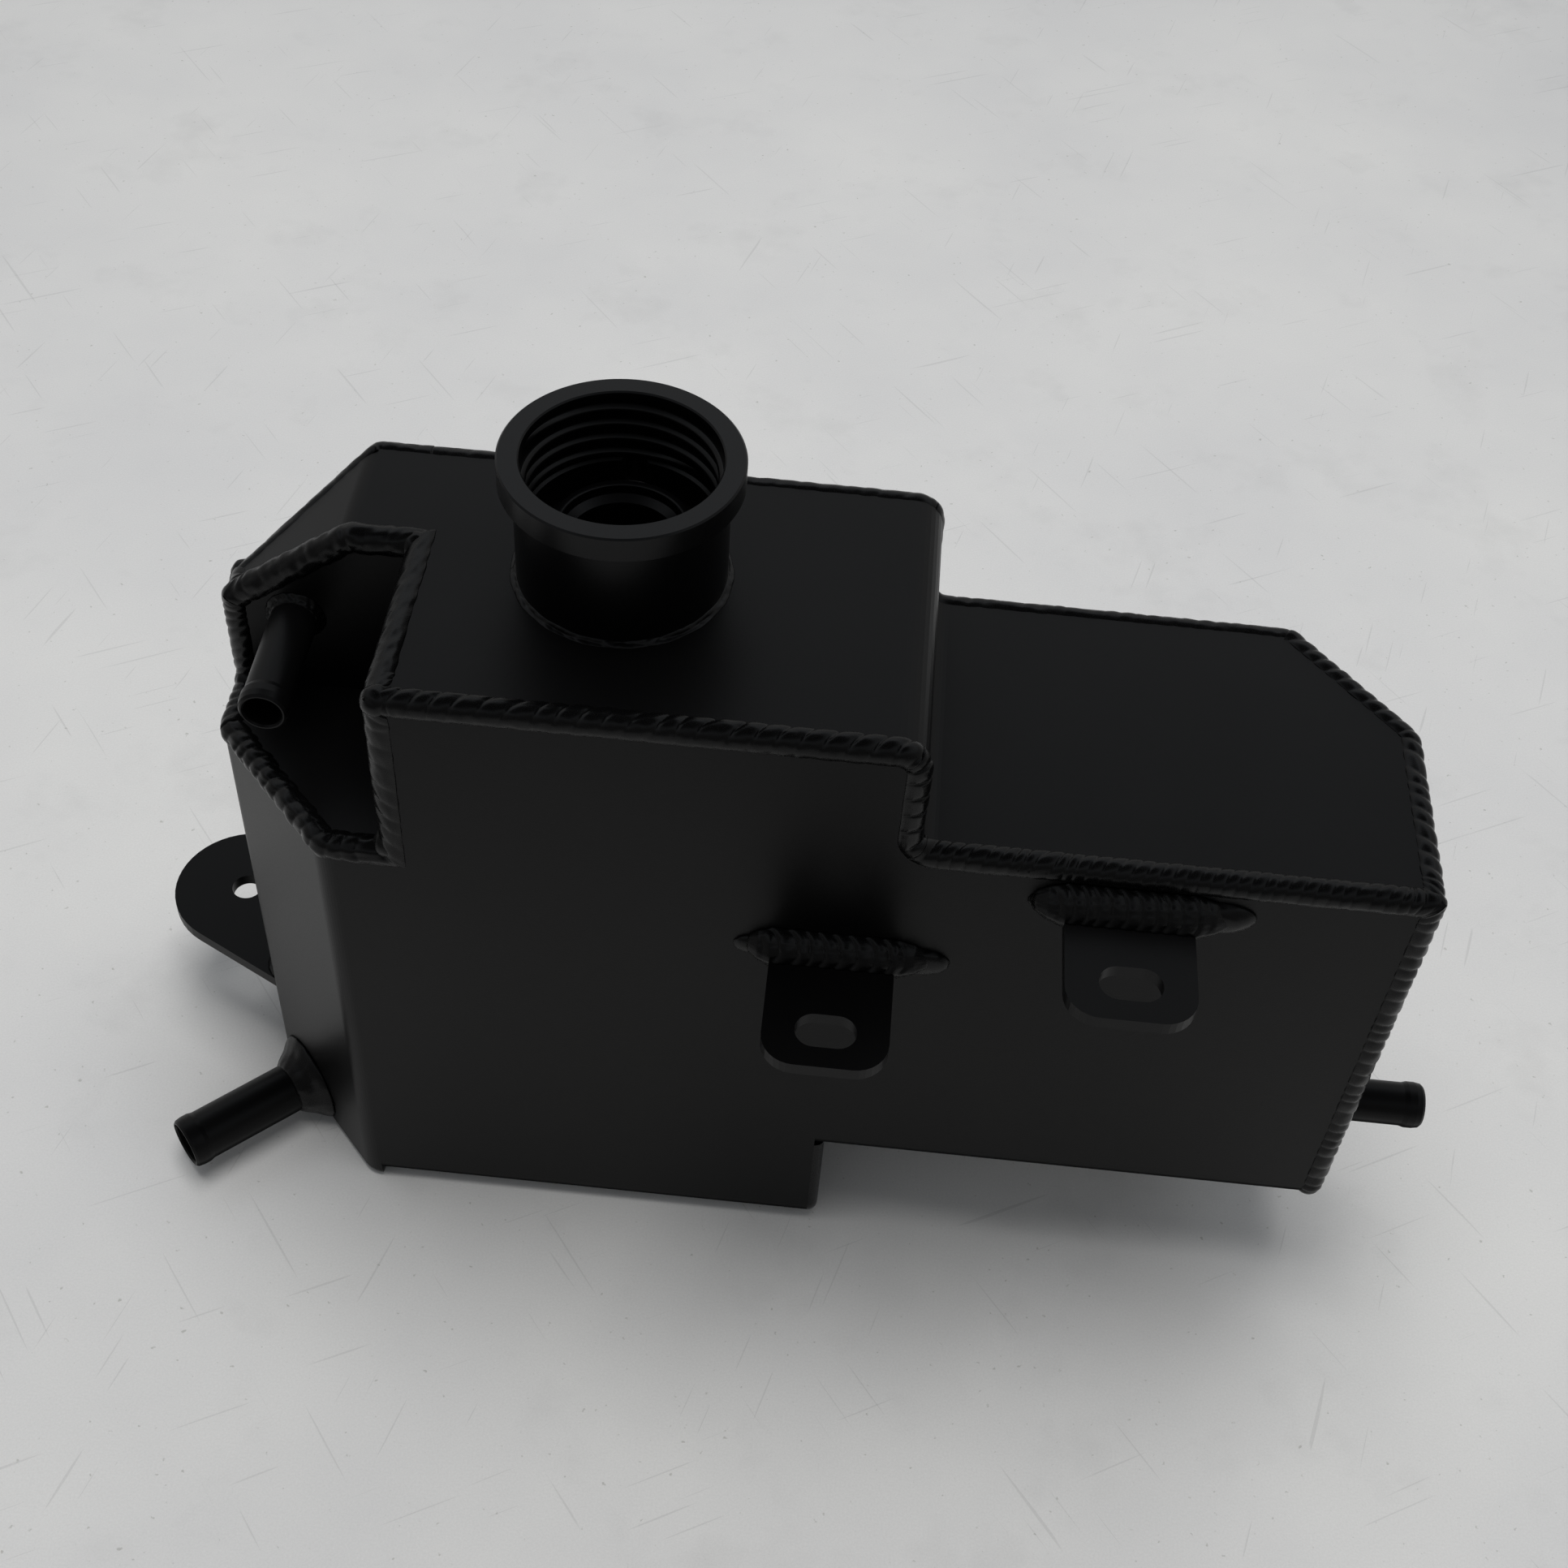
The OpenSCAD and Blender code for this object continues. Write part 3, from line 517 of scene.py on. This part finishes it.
def seam(node_name, stations, w, pitch, depth, seed, foot=sheet, skew=1.5, curve=1.2, lumps=0.12,
         low=0.0, sharp=1.0, side=0.0, mid=0.2, step=0.45):
    """A weld bead along a corner, with the ripples cut into its half round.

    Pitch, depth, skew, curve and sharp shape the ripples, and side and mid make them deeper on one side
    of the bead. Low and lumps take the whole bead down, evenly and in lumps.
    """
    edge_fade = 0.55
    wander_step = 9
    lump_size = 7
    least_radius = 0.3
    side_slope = 1.6
    side_limit = 1.3
    total, place = along_seam(stations)
    s = np.linspace(0, total, max(8, int(total / step)) + 1)
    rows = len(s)
    angle = -math.pi / 4 - np.linspace(0, math.pi, bead_steps + 1)
    s_grid, k = np.meshgrid(s, np.linspace(-1, 1, bead_steps + 1), indexing="ij")
    cut = depth * scales(s_grid, k, pitch, skew, curve, seed, sharp=sharp)
    cut = cut * (1 - edge_fade * k**4) * (0.75 + 0.35 * wander(s, wander_step, seed + 1)[:, None])
    cut = cut * np.clip(1 + side * (k - mid) * side_slope, 0, side_limit)
    cut = cut + low + lumps * (1 + lumpy(s_grid, k * w, lump_size, seed + 2))
    radius = np.maximum(w / math.sqrt(2) - np.maximum(cut, 0.02), least_radius)
    inner = np.full(rows, sheet)
    edge = np.full(rows, foot)
    zero = np.zeros(rows)
    p = np.c_[inner, edge, w / 2 + radius * np.cos(angle), zero]
    q = np.c_[inner, zero, w / 2 + radius * np.sin(angle), edge]
    points = p.shape[1]
    reach = mitred(np.repeat(s[:, None], points, 1), total, stations, p, q)
    line, first_dir, second_dir = place(reach)
    verts = line + p[..., None] * first_dir + q[..., None] * second_dir
    faces = grid_quads(rows, points)
    half = points // 2
    for base in (0, (rows - 1) * points):
        end = base + points - 1
        faces += [[base, base + 1, base + half], [base, base + half, end]]
        faces += fan(base + 1, base + 2, base + half) + fan(end, base + half, end - 1)
    mesh_piece(bead_name(node_name), verts.reshape(-1, 3), faces, node_name)


# Directions up the slope's edge and up the upper edge of the rear left cut
slope_up = np.array([slope_dir[0], 0, slope_dir[1]])
cut_up = unit([slope_width, rear_left, tall_height - slope_foot])


def top_seams():
    """The seams round the top."""
    at_pocket = (pocket_x, 0, tall_height)
    at_end = (tank_length, 0, low_height)
    at_slope_foot = (0, pocket_y, slope_foot)
    at_left_cut = (0, left_y, slope_foot)
    slope_end = (np.array([slope_width + 2 * fold_r, tank_depth, tall_height]), -Z, -Y)
    seam("weld_top_front", [corner(at_pocket, -Z, Y, X, -Z, Y)] + top_run(0, 1, first(2), middle(2)),
         weld_w, pitch=6.0, depth=0.75, skew=-2.6, curve=-1.6, seed=3, step=0.35, sharp=1.3, side=0.5)
    seam("weld_step_front", top_run(0, 1, middle(2), middle(3)),
         weld_w, pitch=5.4, depth=0.75, skew=-0.5, curve=-1.6, seed=5, step=0.25, sharp=2.5, side=0.9,
         mid=-0.45)
    seam("weld_low_front", top_run(0, 1, middle(3), last(3)) + [corner(at_end, -Z, Y, -X, -Z, Y)],
         weld_w, pitch=3.4, depth=0.5, skew=-2.2, curve=-1.2, seed=7, step=0.3, sharp=1.2, side=0.4)
    end_stations = plan_run(right_frames, low_height, middle(1), last(2))
    seam("weld_end_top", end_stations + [corner(at_end, -Z, -X, Y, -Z, -X)],
         weld_w, pitch=4.8, depth=0.6, seed=9)
    rear_stations = top_run(tank_depth, -1, middle(3), last(3))
    seam("weld_low_rear", rear_stations + plan_run(right_frames, low_height, first(1), middle(1)),
         weld_w, pitch=4.6, depth=0.2, low=0.45, seed=11)
    seam("weld_step_rear", top_run(tank_depth, -1, middle(2), middle(3)),
         weld_w, pitch=5.4, depth=0.2, low=0.45, seed=13)
    seam("weld_top_rear", [slope_end] + top_run(tank_depth, -1, first(2), middle(2)),
         weld_w, pitch=5.6, depth=0.14, low=0.55, seed=15)
    cut_stations = [slope_station(f) for f in left_frames[: last(1) + 1]]
    cut_corner = corner(at_left_cut, cut_stations[0][1], cut_stations[0][2], cut_up, -Z, -Y)
    seam("weld_slope_rear", [cut_corner] + cut_stations[1:] + [slope_end],
         weld_w, pitch=5.0, depth=0.14, low=0.55, seed=17)
    slope_wall = np.array([0, 0, -1 / slope_dir[0]])
    slope_top = np.array([1, 0, (tall_height - slope_foot) / slope_width])
    left_start = corner(at_slope_foot, slope_wall, slope_top, Y, -Z, slope_up)
    left_end = corner(at_left_cut, slope_wall, slope_top, -Y, -Z, cut_up)
    seam("weld_left_top", [left_start, left_end], weld_w, pitch=4.0, depth=0.3, low=0.3, seed=19)


def upright_seams():
    """The seams up the right end and the rear left corner."""
    seam("weld_end", end_run() + [corner((tank_length, 0, low_height), Y, -X, -Z, Y, -X)],
         weld_w, pitch=4.8, depth=0.62, skew=-1.8, curve=1.4, seed=21, step=0.4)
    narrow_w = 0.6 * weld_w
    cut_along = np.array([left_cut_dir[0], left_cut_dir[1], 0])
    wall_dir = -Y / left_cut_dir[0]
    cut_dir = cut_along / left_cut_dir[0]
    bottom = corner((0, left_y, 0), wall_dir, cut_dir, Z, -Y, cut_along)
    top = corner((0, left_y, slope_foot), wall_dir, cut_dir, -Z, -Y, cut_up)
    seam("weld_left_rear", [bottom, top],
         narrow_w, foot=sheet * (1 - left_cut_dir[1]), pitch=4.6, depth=0.3, seed=23)


def pocket_seams():
    """The seams round the pocket."""
    at_front = (pocket_x, 0, tall_height)
    at_slope_foot = (0, pocket_y, slope_foot)
    slope_in = (slope_dir[1], 0, -slope_dir[0])
    pocket_top = (np.array([pocket_x, pocket_y, tall_height]), X + Y, -Z)
    pocket_left_end = (np.array([0, pocket_y, pocket_z]), Y - Z, X)
    pocket_foot = (np.array([pocket_x, 0, pocket_z]), X - Z, Y)
    seam("weld_pocket_side", [pocket_top, corner(at_front, X, -Z, Y, X, -Z)],
         pocket_weld_w, pitch=4.4, depth=0.05, curve=1.8, seed=25, lumps=0.18)
    rear_end = corner(at_slope_foot, Y, slope_in, slope_up, Y, -Z)
    seam("weld_pocket_rear", [pocket_top] + pocket_run() + [rear_end],
         pocket_weld_w, pitch=5.2, depth=0.24, seed=27, lumps=0.25)
    seam("weld_pocket_left", [corner(at_slope_foot, Y, X, -Z, Y, slope_up), pocket_left_end],
         pocket_weld_w, pitch=3.6, depth=0.4, curve=1.6, seed=29)
    seam("weld_pocket_floor", [pocket_foot] + plan_run(front_frames, pocket_z, first(1), middle(2)),
         pocket_weld_w, pitch=4.6, depth=0.55, curve=2.0, seed=31, lumps=0.3, step=0.4)
    left_floor = list(reversed(plan_run(front_frames, pocket_z, middle(2), last(2))))
    seam("weld_pocket_floor_left", [pocket_left_end] + left_floor,
         pocket_weld_w, pitch=3.5, depth=0.4, curve=1.8, seed=33, lumps=0.15)
    seam("weld_pocket_front", [pocket_foot, corner(at_front, X, Y, -Z, X, Y)],
         pocket_weld_w, pitch=5.6, depth=0.2, skew=0.3, curve=1.2, seed=35, lumps=0.15)


# Lumps of weld
def lump(name, centre, radii, seed):
    """A rounded lump of weld. Radii is one number or one for each axis."""
    dent = 0.045
    dent_size = 5
    bm = bmesh.new()
    bmesh.ops.create_icosphere(bm, subdivisions=4, radius=1)
    v = np.array([q.co[:] for q in bm.verts])
    faces = [[q.index for q in face.verts] for face in bm.faces]
    bm.free()
    r = np.array(radii, float) * np.ones(3)
    swell = 1 - dent * (1 + lumpy(v[:, 0] * r[0] + 3 * v[:, 2], v[:, 1] * r[1], dent_size, seed))
    mesh_piece(name, np.array(centre, float) + swell[:, None] * v * r, faces)


def corner_lumps():
    """The lumps where three beads meet: where they lie, and how wide the beads are."""
    first_seed = 61
    below_bead = 0.02
    places = [
        ((pocket_x + 2.8, 2.8, tall_height - 2.8), 1.12 * weld_w),
        ((tank_length - 2.8, 2.8, low_height - 2.8), weld_w),
        ((pocket_x + 1.2, 3.1, pocket_z + 0.6), pocket_weld_w),
        ((3.1, pocket_y + 3.1, slope_foot - 2.2), pocket_weld_w),
        ((3.1, pocket_y + 0.9, pocket_z - 1.2), pocket_weld_w),
        ((2.9, left_y + 1.0, slope_foot - 2.0), weld_w),
        ((pocket_x + 1.0, pocket_y + 2.2, tall_height - 3.1), pocket_weld_w),
    ]
    for i, (centre, w) in enumerate(places):
        lump("bead_lump_" + "abcdefg"[i], centre, w / math.sqrt(2) - below_bead, first_seed + i)


def toe_lumps():
    """The lumps at the toes of the tabs' welds: where they lie, and their radii."""
    first_seed = 81
    places = [
        ((left_tab_x - 21, 0, 138.2), (6.0, 2.3, 3.8)),
        ((left_tab_x + 23, 0, 137.8), (9.0, 3.2, 5.2)),
        ((right_tab_x - 21, 0, 168.0), (5.5, 2.2, 3.2)),
        ((right_tab_x + 23.5, 0, 168.6), (9.5, 3.6, 5.6)),
    ]
    for i, (centre, radii) in enumerate(places):
        lump("bead_toe_" + "abcd"[i], centre, radii, first_seed + i)


# The welds of the tabs
def tab_run(left, right):
    """Pairs of distance and size along a tab's weld, whose toes run out to the left and the right."""
    toe = [(1, 0.1), (0.85, 0.45), (0.5, 0.75)]
    end = tab_w / 2
    left_toe = [(-end - share * left, size) for share, size in toe]
    right_toe = [(end + share * right, size) for share, size in reversed(toe)]
    return left_toe + [(-end, 1), (end, 1)] + right_toe


def fillet(node_name, run, leg, origin, pitch, depth, curve, seed, lumps):
    """A weld between the front face and a tab's upper side, with ripples over the tab's width."""
    step = 0.3
    skew = 0.8
    edge_fade = 0.5
    lump_size = 6
    hollow_share = 0.12
    foot_share = 0.7
    least_radius = 0.05
    distances, sizes = np.array(run, float).T
    s = np.linspace(distances[0], distances[-1], int((distances[-1] - distances[0]) / step) + 1)
    size = np.interp(s, distances, sizes)
    angle = np.linspace(0, math.pi / 2, fillet_steps + 1)
    s_grid, k = np.meshgrid(s, np.linspace(-1, 1, fillet_steps + 1), indexing="ij")
    over_tab = np.clip((size - 0.75) / 0.25, 0, 1)[:, None]
    cut = depth * scales(s_grid, k, pitch, skew, curve, seed, irregular=0.2, bend=4)
    cut = cut * (1 - edge_fade * k**4) * over_tab
    cut = cut + lumps * (1 + lumpy(s_grid, k * leg, lump_size, seed + 2))
    hollow = 1 - hollow_share * np.sin(2 * angle)
    radius = np.maximum(size[:, None] * leg * hollow - cut * np.minimum(1, size[:, None]), least_radius)
    below = -size * tab_t
    out = np.c_[np.zeros(len(s)), foot_share * size * leg, radius * np.cos(angle)]
    up = np.c_[below, below, radius * np.sin(angle)]
    verts = np.array(origin) + s[:, None, None] * X - out[..., None] * Y + up[..., None] * Z
    points = verts.shape[1]
    faces = grid_quads(len(s), points)
    for base in (0, (len(s) - 1) * points):
        faces += fan(base, base + 1, base + points - 1)
    mesh_piece(bead_name(node_name), verts.reshape(-1, 3), faces, node_name)


def tab_welds():
    """The fillets on the two slotted tabs."""
    fillet("weld_left_tab", tab_run(7, 10), tab_leg, (left_tab_x, 0, left_tab_z),
           pitch=4.2, depth=0.9, curve=2.4, seed=41, lumps=0.12)
    fillet("weld_right_tab", tab_run(9, 10), tab_leg + 0.7, (right_tab_x, 0, right_tab_z),
           pitch=3.6, depth=0.7, curve=2.2, seed=43, lumps=0.15)


# The welds round the tubes
def collar(node_name, r, out, up, origin, axis, pitch, depth, seed, hollow=0.12, lumps=0.15,
           on_ground=False, mat=weld_coat):
    """A ring of weld round a tube of radius r, out wide along the wall and up high along the tube."""
    step = 0.4
    edge_fade = 0.5
    in_tube = 0.3
    in_wall = 0.2
    least_z = 0.02
    count = int(2 * math.pi * (r + out) / step)
    theta = np.linspace(0, 2 * math.pi, count, endpoint=False)
    angle = np.linspace(0, math.pi / 2, collar_steps + 1)
    t, k = np.meshgrid(theta, np.linspace(-1, 1, collar_steps + 1), indexing="ij")
    ripples = round(2 * math.pi * (r + out / 2) / pitch)
    line = t * ripples / (2 * math.pi) + 0.5 * (1 - k * k)
    line = line + 0.12 * np.sin(3 * t + seed) + 0.1 * np.sin(7 * t)
    share = np.mod(line, 1.0)
    cut = depth * (2 * share**ripple_lean - 1) ** 2 * (1 - edge_fade * k**4)
    coarse = 0.6 * np.sin(5 * t + seed) * np.cos(2.3 * k + seed)
    cut = cut + lumps * (1 + coarse + 0.4 * np.sin(17 * t + 2 * k + seed))
    size = 1 - hollow * np.sin(2 * angle) - np.maximum(cut, 0.01) / max(out, up)
    inner = np.full(count, r - in_tube)
    radial = np.c_[inner, r + out * size * np.cos(angle), inner]
    axial = np.c_[np.full(count, -in_wall), up * size * np.sin(angle), up * size[:, -1]]
    w = unit(axis)
    e1 = unit(np.cross(w, Z if abs(w[2]) < 0.9 else X))
    e2 = np.cross(w, e1)
    spokes = np.cos(theta)[:, None, None] * e1 + np.sin(theta)[:, None, None] * e2
    verts = np.array(origin) + radial[..., None] * spokes + axial[..., None] * w
    if on_ground:
        verts[..., 2] = np.maximum(verts[..., 2], least_z)
    faces = ring_quads(count, verts.shape[1])
    mesh_piece(bead_name(node_name), verts.reshape(-1, 3), faces, node_name, mat=mat)


def tube_welds():
    """The rings round the neck and the spigots, apart from the overflow spigot's."""
    cut_dir = unit([-front_cut[0], front_cut[1]])
    cut_out = np.array([-cut_dir[1], cut_dir[0], 0])
    foot_x = front_cut[0] + corner_spigot_along * cut_dir[0]
    foot_y = corner_spigot_along * cut_dir[1]
    corner_spigot_at = np.array([foot_x, foot_y, corner_spigot_z])
    collar("weld_neck", neck_r, 1.9, 1.7, (*neck_at, tall_height), Z,
           pitch=3.4, depth=0.12, seed=51, hollow=0.3, lumps=0.3, mat=turned_coat)
    collar("weld_pocket_spigot", thin_tube_r, 2.2, 2.2, pocket_spigot_at, -Y,
           pitch=2.6, depth=0.12, seed=53, hollow=0.3)
    collar("weld_end_spigot", thin_tube_r, 2.5, 2.5, end_spigot_at, X, pitch=2.6, depth=0.3, seed=55)
    collar("weld_corner_spigot", thick_tube_r, 7.0, 8.4, corner_spigot_at, cut_out,
           pitch=6.0, depth=0.12, seed=57, hollow=0.3, lumps=0.12, on_ground=True)


# The filler neck
def lathe(profile, origin):
    """The points and faces of a turned body, from pairs of radius and height."""
    count = 192
    angles = np.arange(count) * 2 * math.pi / count
    verts = np.array([[[origin[0] + r * math.cos(q), origin[1] + r * math.sin(q), origin[2] + z]
                       for r, z in profile] for q in angles])
    return verts.reshape(-1, 3), ring_quads(count, len(profile))


def neck_profile():
    """Radii, and heights from the neck's top: flange, tube, floor, the ring of the cap's seat, bore."""
    bore_r = 25.2
    flange_r = 31.0
    flange_t = 7.4
    foot = 40.9
    chamber_r = 24.4
    channel = 30.5
    floor_t = 4
    outlet_r = 13.8
    ring_in = 15.8
    ring_out = 17.98
    ring_top = 22.32
    flange = [(bore_r + 0.5, 0), (flange_r - 0.45, 0), (flange_r, -0.45), (flange_r, -flange_t + 0.5),
              (flange_r - 0.5, -flange_t)]
    tube = [(neck_r + 0.7, -flange_t), (neck_r, -flange_t - 0.7), (neck_r, -20), (neck_r, -30),
            (neck_r, -foot)]
    floor = [(chamber_r, -foot), (chamber_r, -channel - floor_t), (outlet_r, -channel - floor_t)]
    ring = [(outlet_r, -26.8), (ring_in, -25.3), (ring_in, -ring_top - 0.38),
            (ring_in + 0.2, -ring_top - 0.13), (ring_in + 0.5, -ring_top), (ring_out - 0.68, -ring_top),
            (ring_out - 0.23, -ring_top - 0.23), (ring_out, -ring_top - 0.68), (ring_out, -channel)]
    bore = [(chamber_r, -channel), (chamber_r, -21.6), (bore_r, -21.0), (bore_r, -2.2), (bore_r, -0.9),
            (bore_r + 0.12, -0.4)]
    return flange + tube + floor + ring + bore


def neck_drill():
    """A rod where the overflow hole goes through the outer wall."""
    hole_r = 4.86
    hole_below_top = 24.9
    rod_from_axis = 26
    rod_length = 13
    place = Vector(tank((neck_at[0], neck_at[1] + rod_from_axis, neck_top - hole_below_top)))
    matrix = Matrix.Translation(place) @ Matrix.Rotation(-math.pi / 2, 4, "X")
    bm = bmesh.new()
    bmesh.ops.create_cone(bm, cap_ends=True, segments=64, radius1=hole_r / 1000, radius2=hole_r / 1000,
                          depth=rod_length / 1000, matrix=matrix)
    me = bpy.data.meshes.new("neck_drill")
    bm.to_mesh(me)
    bm.free()
    drill = bpy.data.objects.new("neck_drill", me)
    scene.collection.objects.link(drill)
    return drill


def sharpen(o, degrees):
    """Smooth faces, with a sharp edge wherever two of them meet at more than the angle."""
    bm = bmesh.new()
    bm.from_mesh(o.data)
    for edge in bm.edges:
        edge.smooth = len(edge.link_faces) == 2 and edge.calc_face_angle() < math.radians(degrees)
    for face in bm.faces:
        face.smooth = True
    bm.to_mesh(o.data)
    bm.free()


def neck():
    """The neck, turned from its profile, with the overflow hole through the outer wall alone."""
    edge_angle = 28
    verts, faces = lathe(neck_profile(), (*neck_at, neck_top))
    o = mesh_piece("neck_turned", verts, faces, "filler_neck", turned_coat)
    drill = neck_drill()
    cut = o.modifiers.new("drill", "BOOLEAN")
    cut.operation = "DIFFERENCE"
    cut.object = drill
    cut.solver = "EXACT"
    done = bpy.data.meshes.new_from_object(o.evaluated_get(bpy.context.evaluated_depsgraph_get()))
    o.modifiers.clear()
    o.data = done
    bpy.data.objects.remove(drill)
    sharpen(o, edge_angle)


def thread():
    """The internal thread of the neck: a right-handed helical ridge that starts and ends in a taper."""
    pitch = 4.7
    root_r = 25.3
    crest_r = 23.9
    start = 3.8
    turns = 3.4
    steps_a_turn = 150
    taper = 0.12
    ridge = [(0, 1.5), (0.3, 1.2), (0.8, 0.75), (1, 0.4), (1, -0.4), (0.8, -0.75), (0.3, -1.2), (0, -1.5)]
    steps = int(turns * steps_a_turn)
    i = np.arange(steps + 1)
    angles = math.pi - i * 2 * math.pi / steps_a_turn
    heights = neck_top - start - pitch * i / steps_a_turn
    fades = np.clip(np.minimum(i, steps - i) / (taper * steps_a_turn), 0, 1)
    rows = []
    for angle, z, fade in zip(angles, heights, fades):
        radii = [root_r - (root_r - crest_r) * share * fade for share, _ in ridge]
        rows.append([[neck_at[0] + r * math.cos(angle), neck_at[1] + r * math.sin(angle), z + up]
                     for r, (_, up) in zip(radii, ridge)])
    points = len(ridge)
    faces = grid_quads(steps + 1, points)
    for base in (0, steps * points):
        faces += fan(base, base + 1, base + points - 1)
    verts = np.array(rows).reshape(-1, 3)
    mesh_piece("neck_thread", verts, faces, mat=turned_coat)


top_seams()
upright_seams()
pocket_seams()
corner_lumps()
toe_lumps()
tab_welds()
tube_welds()
neck()
thread()


# Floor
def scratches(tree, place, turn_z, scale, stretch, low, seed):
    """Sparse short lines, the thin crests of a noise stretched along one direction."""
    mapping = node(tree, "ShaderNodeMapping", vector_type="TEXTURE")
    mapping.inputs["Rotation"].default_value = (0, 0, turn_z)
    mapping.inputs["Scale"].default_value = (1, 1 / stretch, 1)
    mapping.inputs["Location"].default_value = (seed, seed * 0.7, 0)
    tree.links.new(place, mapping.inputs["Vector"])
    lines = noise(tree, mapping.outputs["Vector"], scale, 1, 0.4)
    return ramp(tree, lines, [(low, (1, 1, 1)), (low + 0.02, (0.88, 0.88, 0.88))])


def floor_material():
    """Pale grey with soft clouds, smudges, specks, dust and a few scratches."""
    m, tree, shader = material("floor_pale")
    place = node(tree, "ShaderNodeTexCoord").outputs["Object"]
    white = (1, 1, 1)
    cloud_stops = [(0.32, (0.68, 0.68, 0.682)), (0.68, (0.755, 0.753, 0.742))]
    smudge_stops = [(0.55, white), (0.72, (0.93, 0.93, 0.93))]
    speck_stops = [(0.70, white), (0.76, (0.72, 0.72, 0.70))]
    dust_stops = [(0.3, (0.96, 0.96, 0.96)), (0.7, (1.03, 1.03, 1.03))]
    colour = ramp(tree, noise(tree, place, scale=5, detail=5, roughness=0.62), cloud_stops)
    layers = [
        ramp(tree, noise(tree, place, scale=16, detail=4, roughness=0.7), smudge_stops),
        ramp(tree, noise(tree, place, scale=420, detail=2, roughness=0.5), speck_stops),
        ramp(tree, noise(tree, place, scale=1500, detail=2, roughness=0.6), dust_stops),
        scratches(tree, place, 0.5, scale=16, stretch=34, low=0.735, seed=3.1),
        scratches(tree, place, -0.9, scale=14, stretch=40, low=0.74, seed=8.3),
        scratches(tree, place, 1.3, scale=20, stretch=30, low=0.745, seed=15.7),
    ]
    for layer in layers:
        colour = multiplied(tree, colour, layer)
    tree.links.new(colour, shader.inputs["Base Color"])
    shader.inputs["Roughness"].default_value = 0.5
    return m


def add_floor():
    """A level square under the tank."""
    floor_size = 4
    bm = bmesh.new()
    bmesh.ops.create_grid(bm, x_segments=2, y_segments=2, size=floor_size)
    me = bpy.data.meshes.new("floor")
    bm.to_mesh(me)
    bm.free()
    floor = bpy.data.objects.new("floor", me)
    scene.collection.objects.link(floor)
    floor.data.materials.append(floor_material())


# Light
def overhead_lamp():
    """A soft lamp above the tank, which doesn't show in the coat's reflections."""
    place = (0.1, 0.12, 2.1)
    target = (0.06, 0.02, 0)
    data = bpy.data.lights.new("lamp_top", "AREA")
    data.shape = "RECTANGLE"
    data.size = 1.2
    data.size_y = 1.2
    data.energy = 27.5
    data.color = (1, 0.99, 0.975)
    lamp = bpy.data.objects.new("lamp_top", data)
    lamp.location = place
    lamp.rotation_euler = (Vector(target) - Vector(place)).to_track_quat("-Z", "Y").to_euler()
    lamp.visible_glossy = False
    scene.collection.objects.link(lamp)


def surroundings():
    """Pale walls up to half height, a dark ceiling, and a darker side where the viewer stands."""
    world = bpy.data.worlds.new("world")
    world.use_nodes = True
    tree = world.node_tree
    axes = node(tree, "ShaderNodeSeparateXYZ")
    tree.links.new(node(tree, "ShaderNodeTexCoord").outputs["Generated"], axes.inputs[0])
    sky_stops = [
        (0.0, (0.48, 0.48, 0.475)),
        (0.5, (0.5, 0.5, 0.5)),
        (0.68, (1.0, 1.05, 1.1)),
        (0.8, (0.6, 0.63, 0.67)),
        (0.88, (0.09, 0.09, 0.09)),
        (1.0, (0.03, 0.03, 0.03)),
    ]
    sky = ramp(tree, axes.outputs["Z"], sky_stops)
    viewer_side = map_range(tree, axes.outputs["Y"], (-1, 1), (0.28, 1))
    background = tree.nodes["Background"]
    tree.links.new(multiplied(tree, sky, viewer_side), background.inputs["Color"])
    background.inputs["Strength"].default_value = 1.0
    scene.world = world


add_floor()
overhead_lamp()
surroundings()
scene.view_settings.view_transform = "Standard"
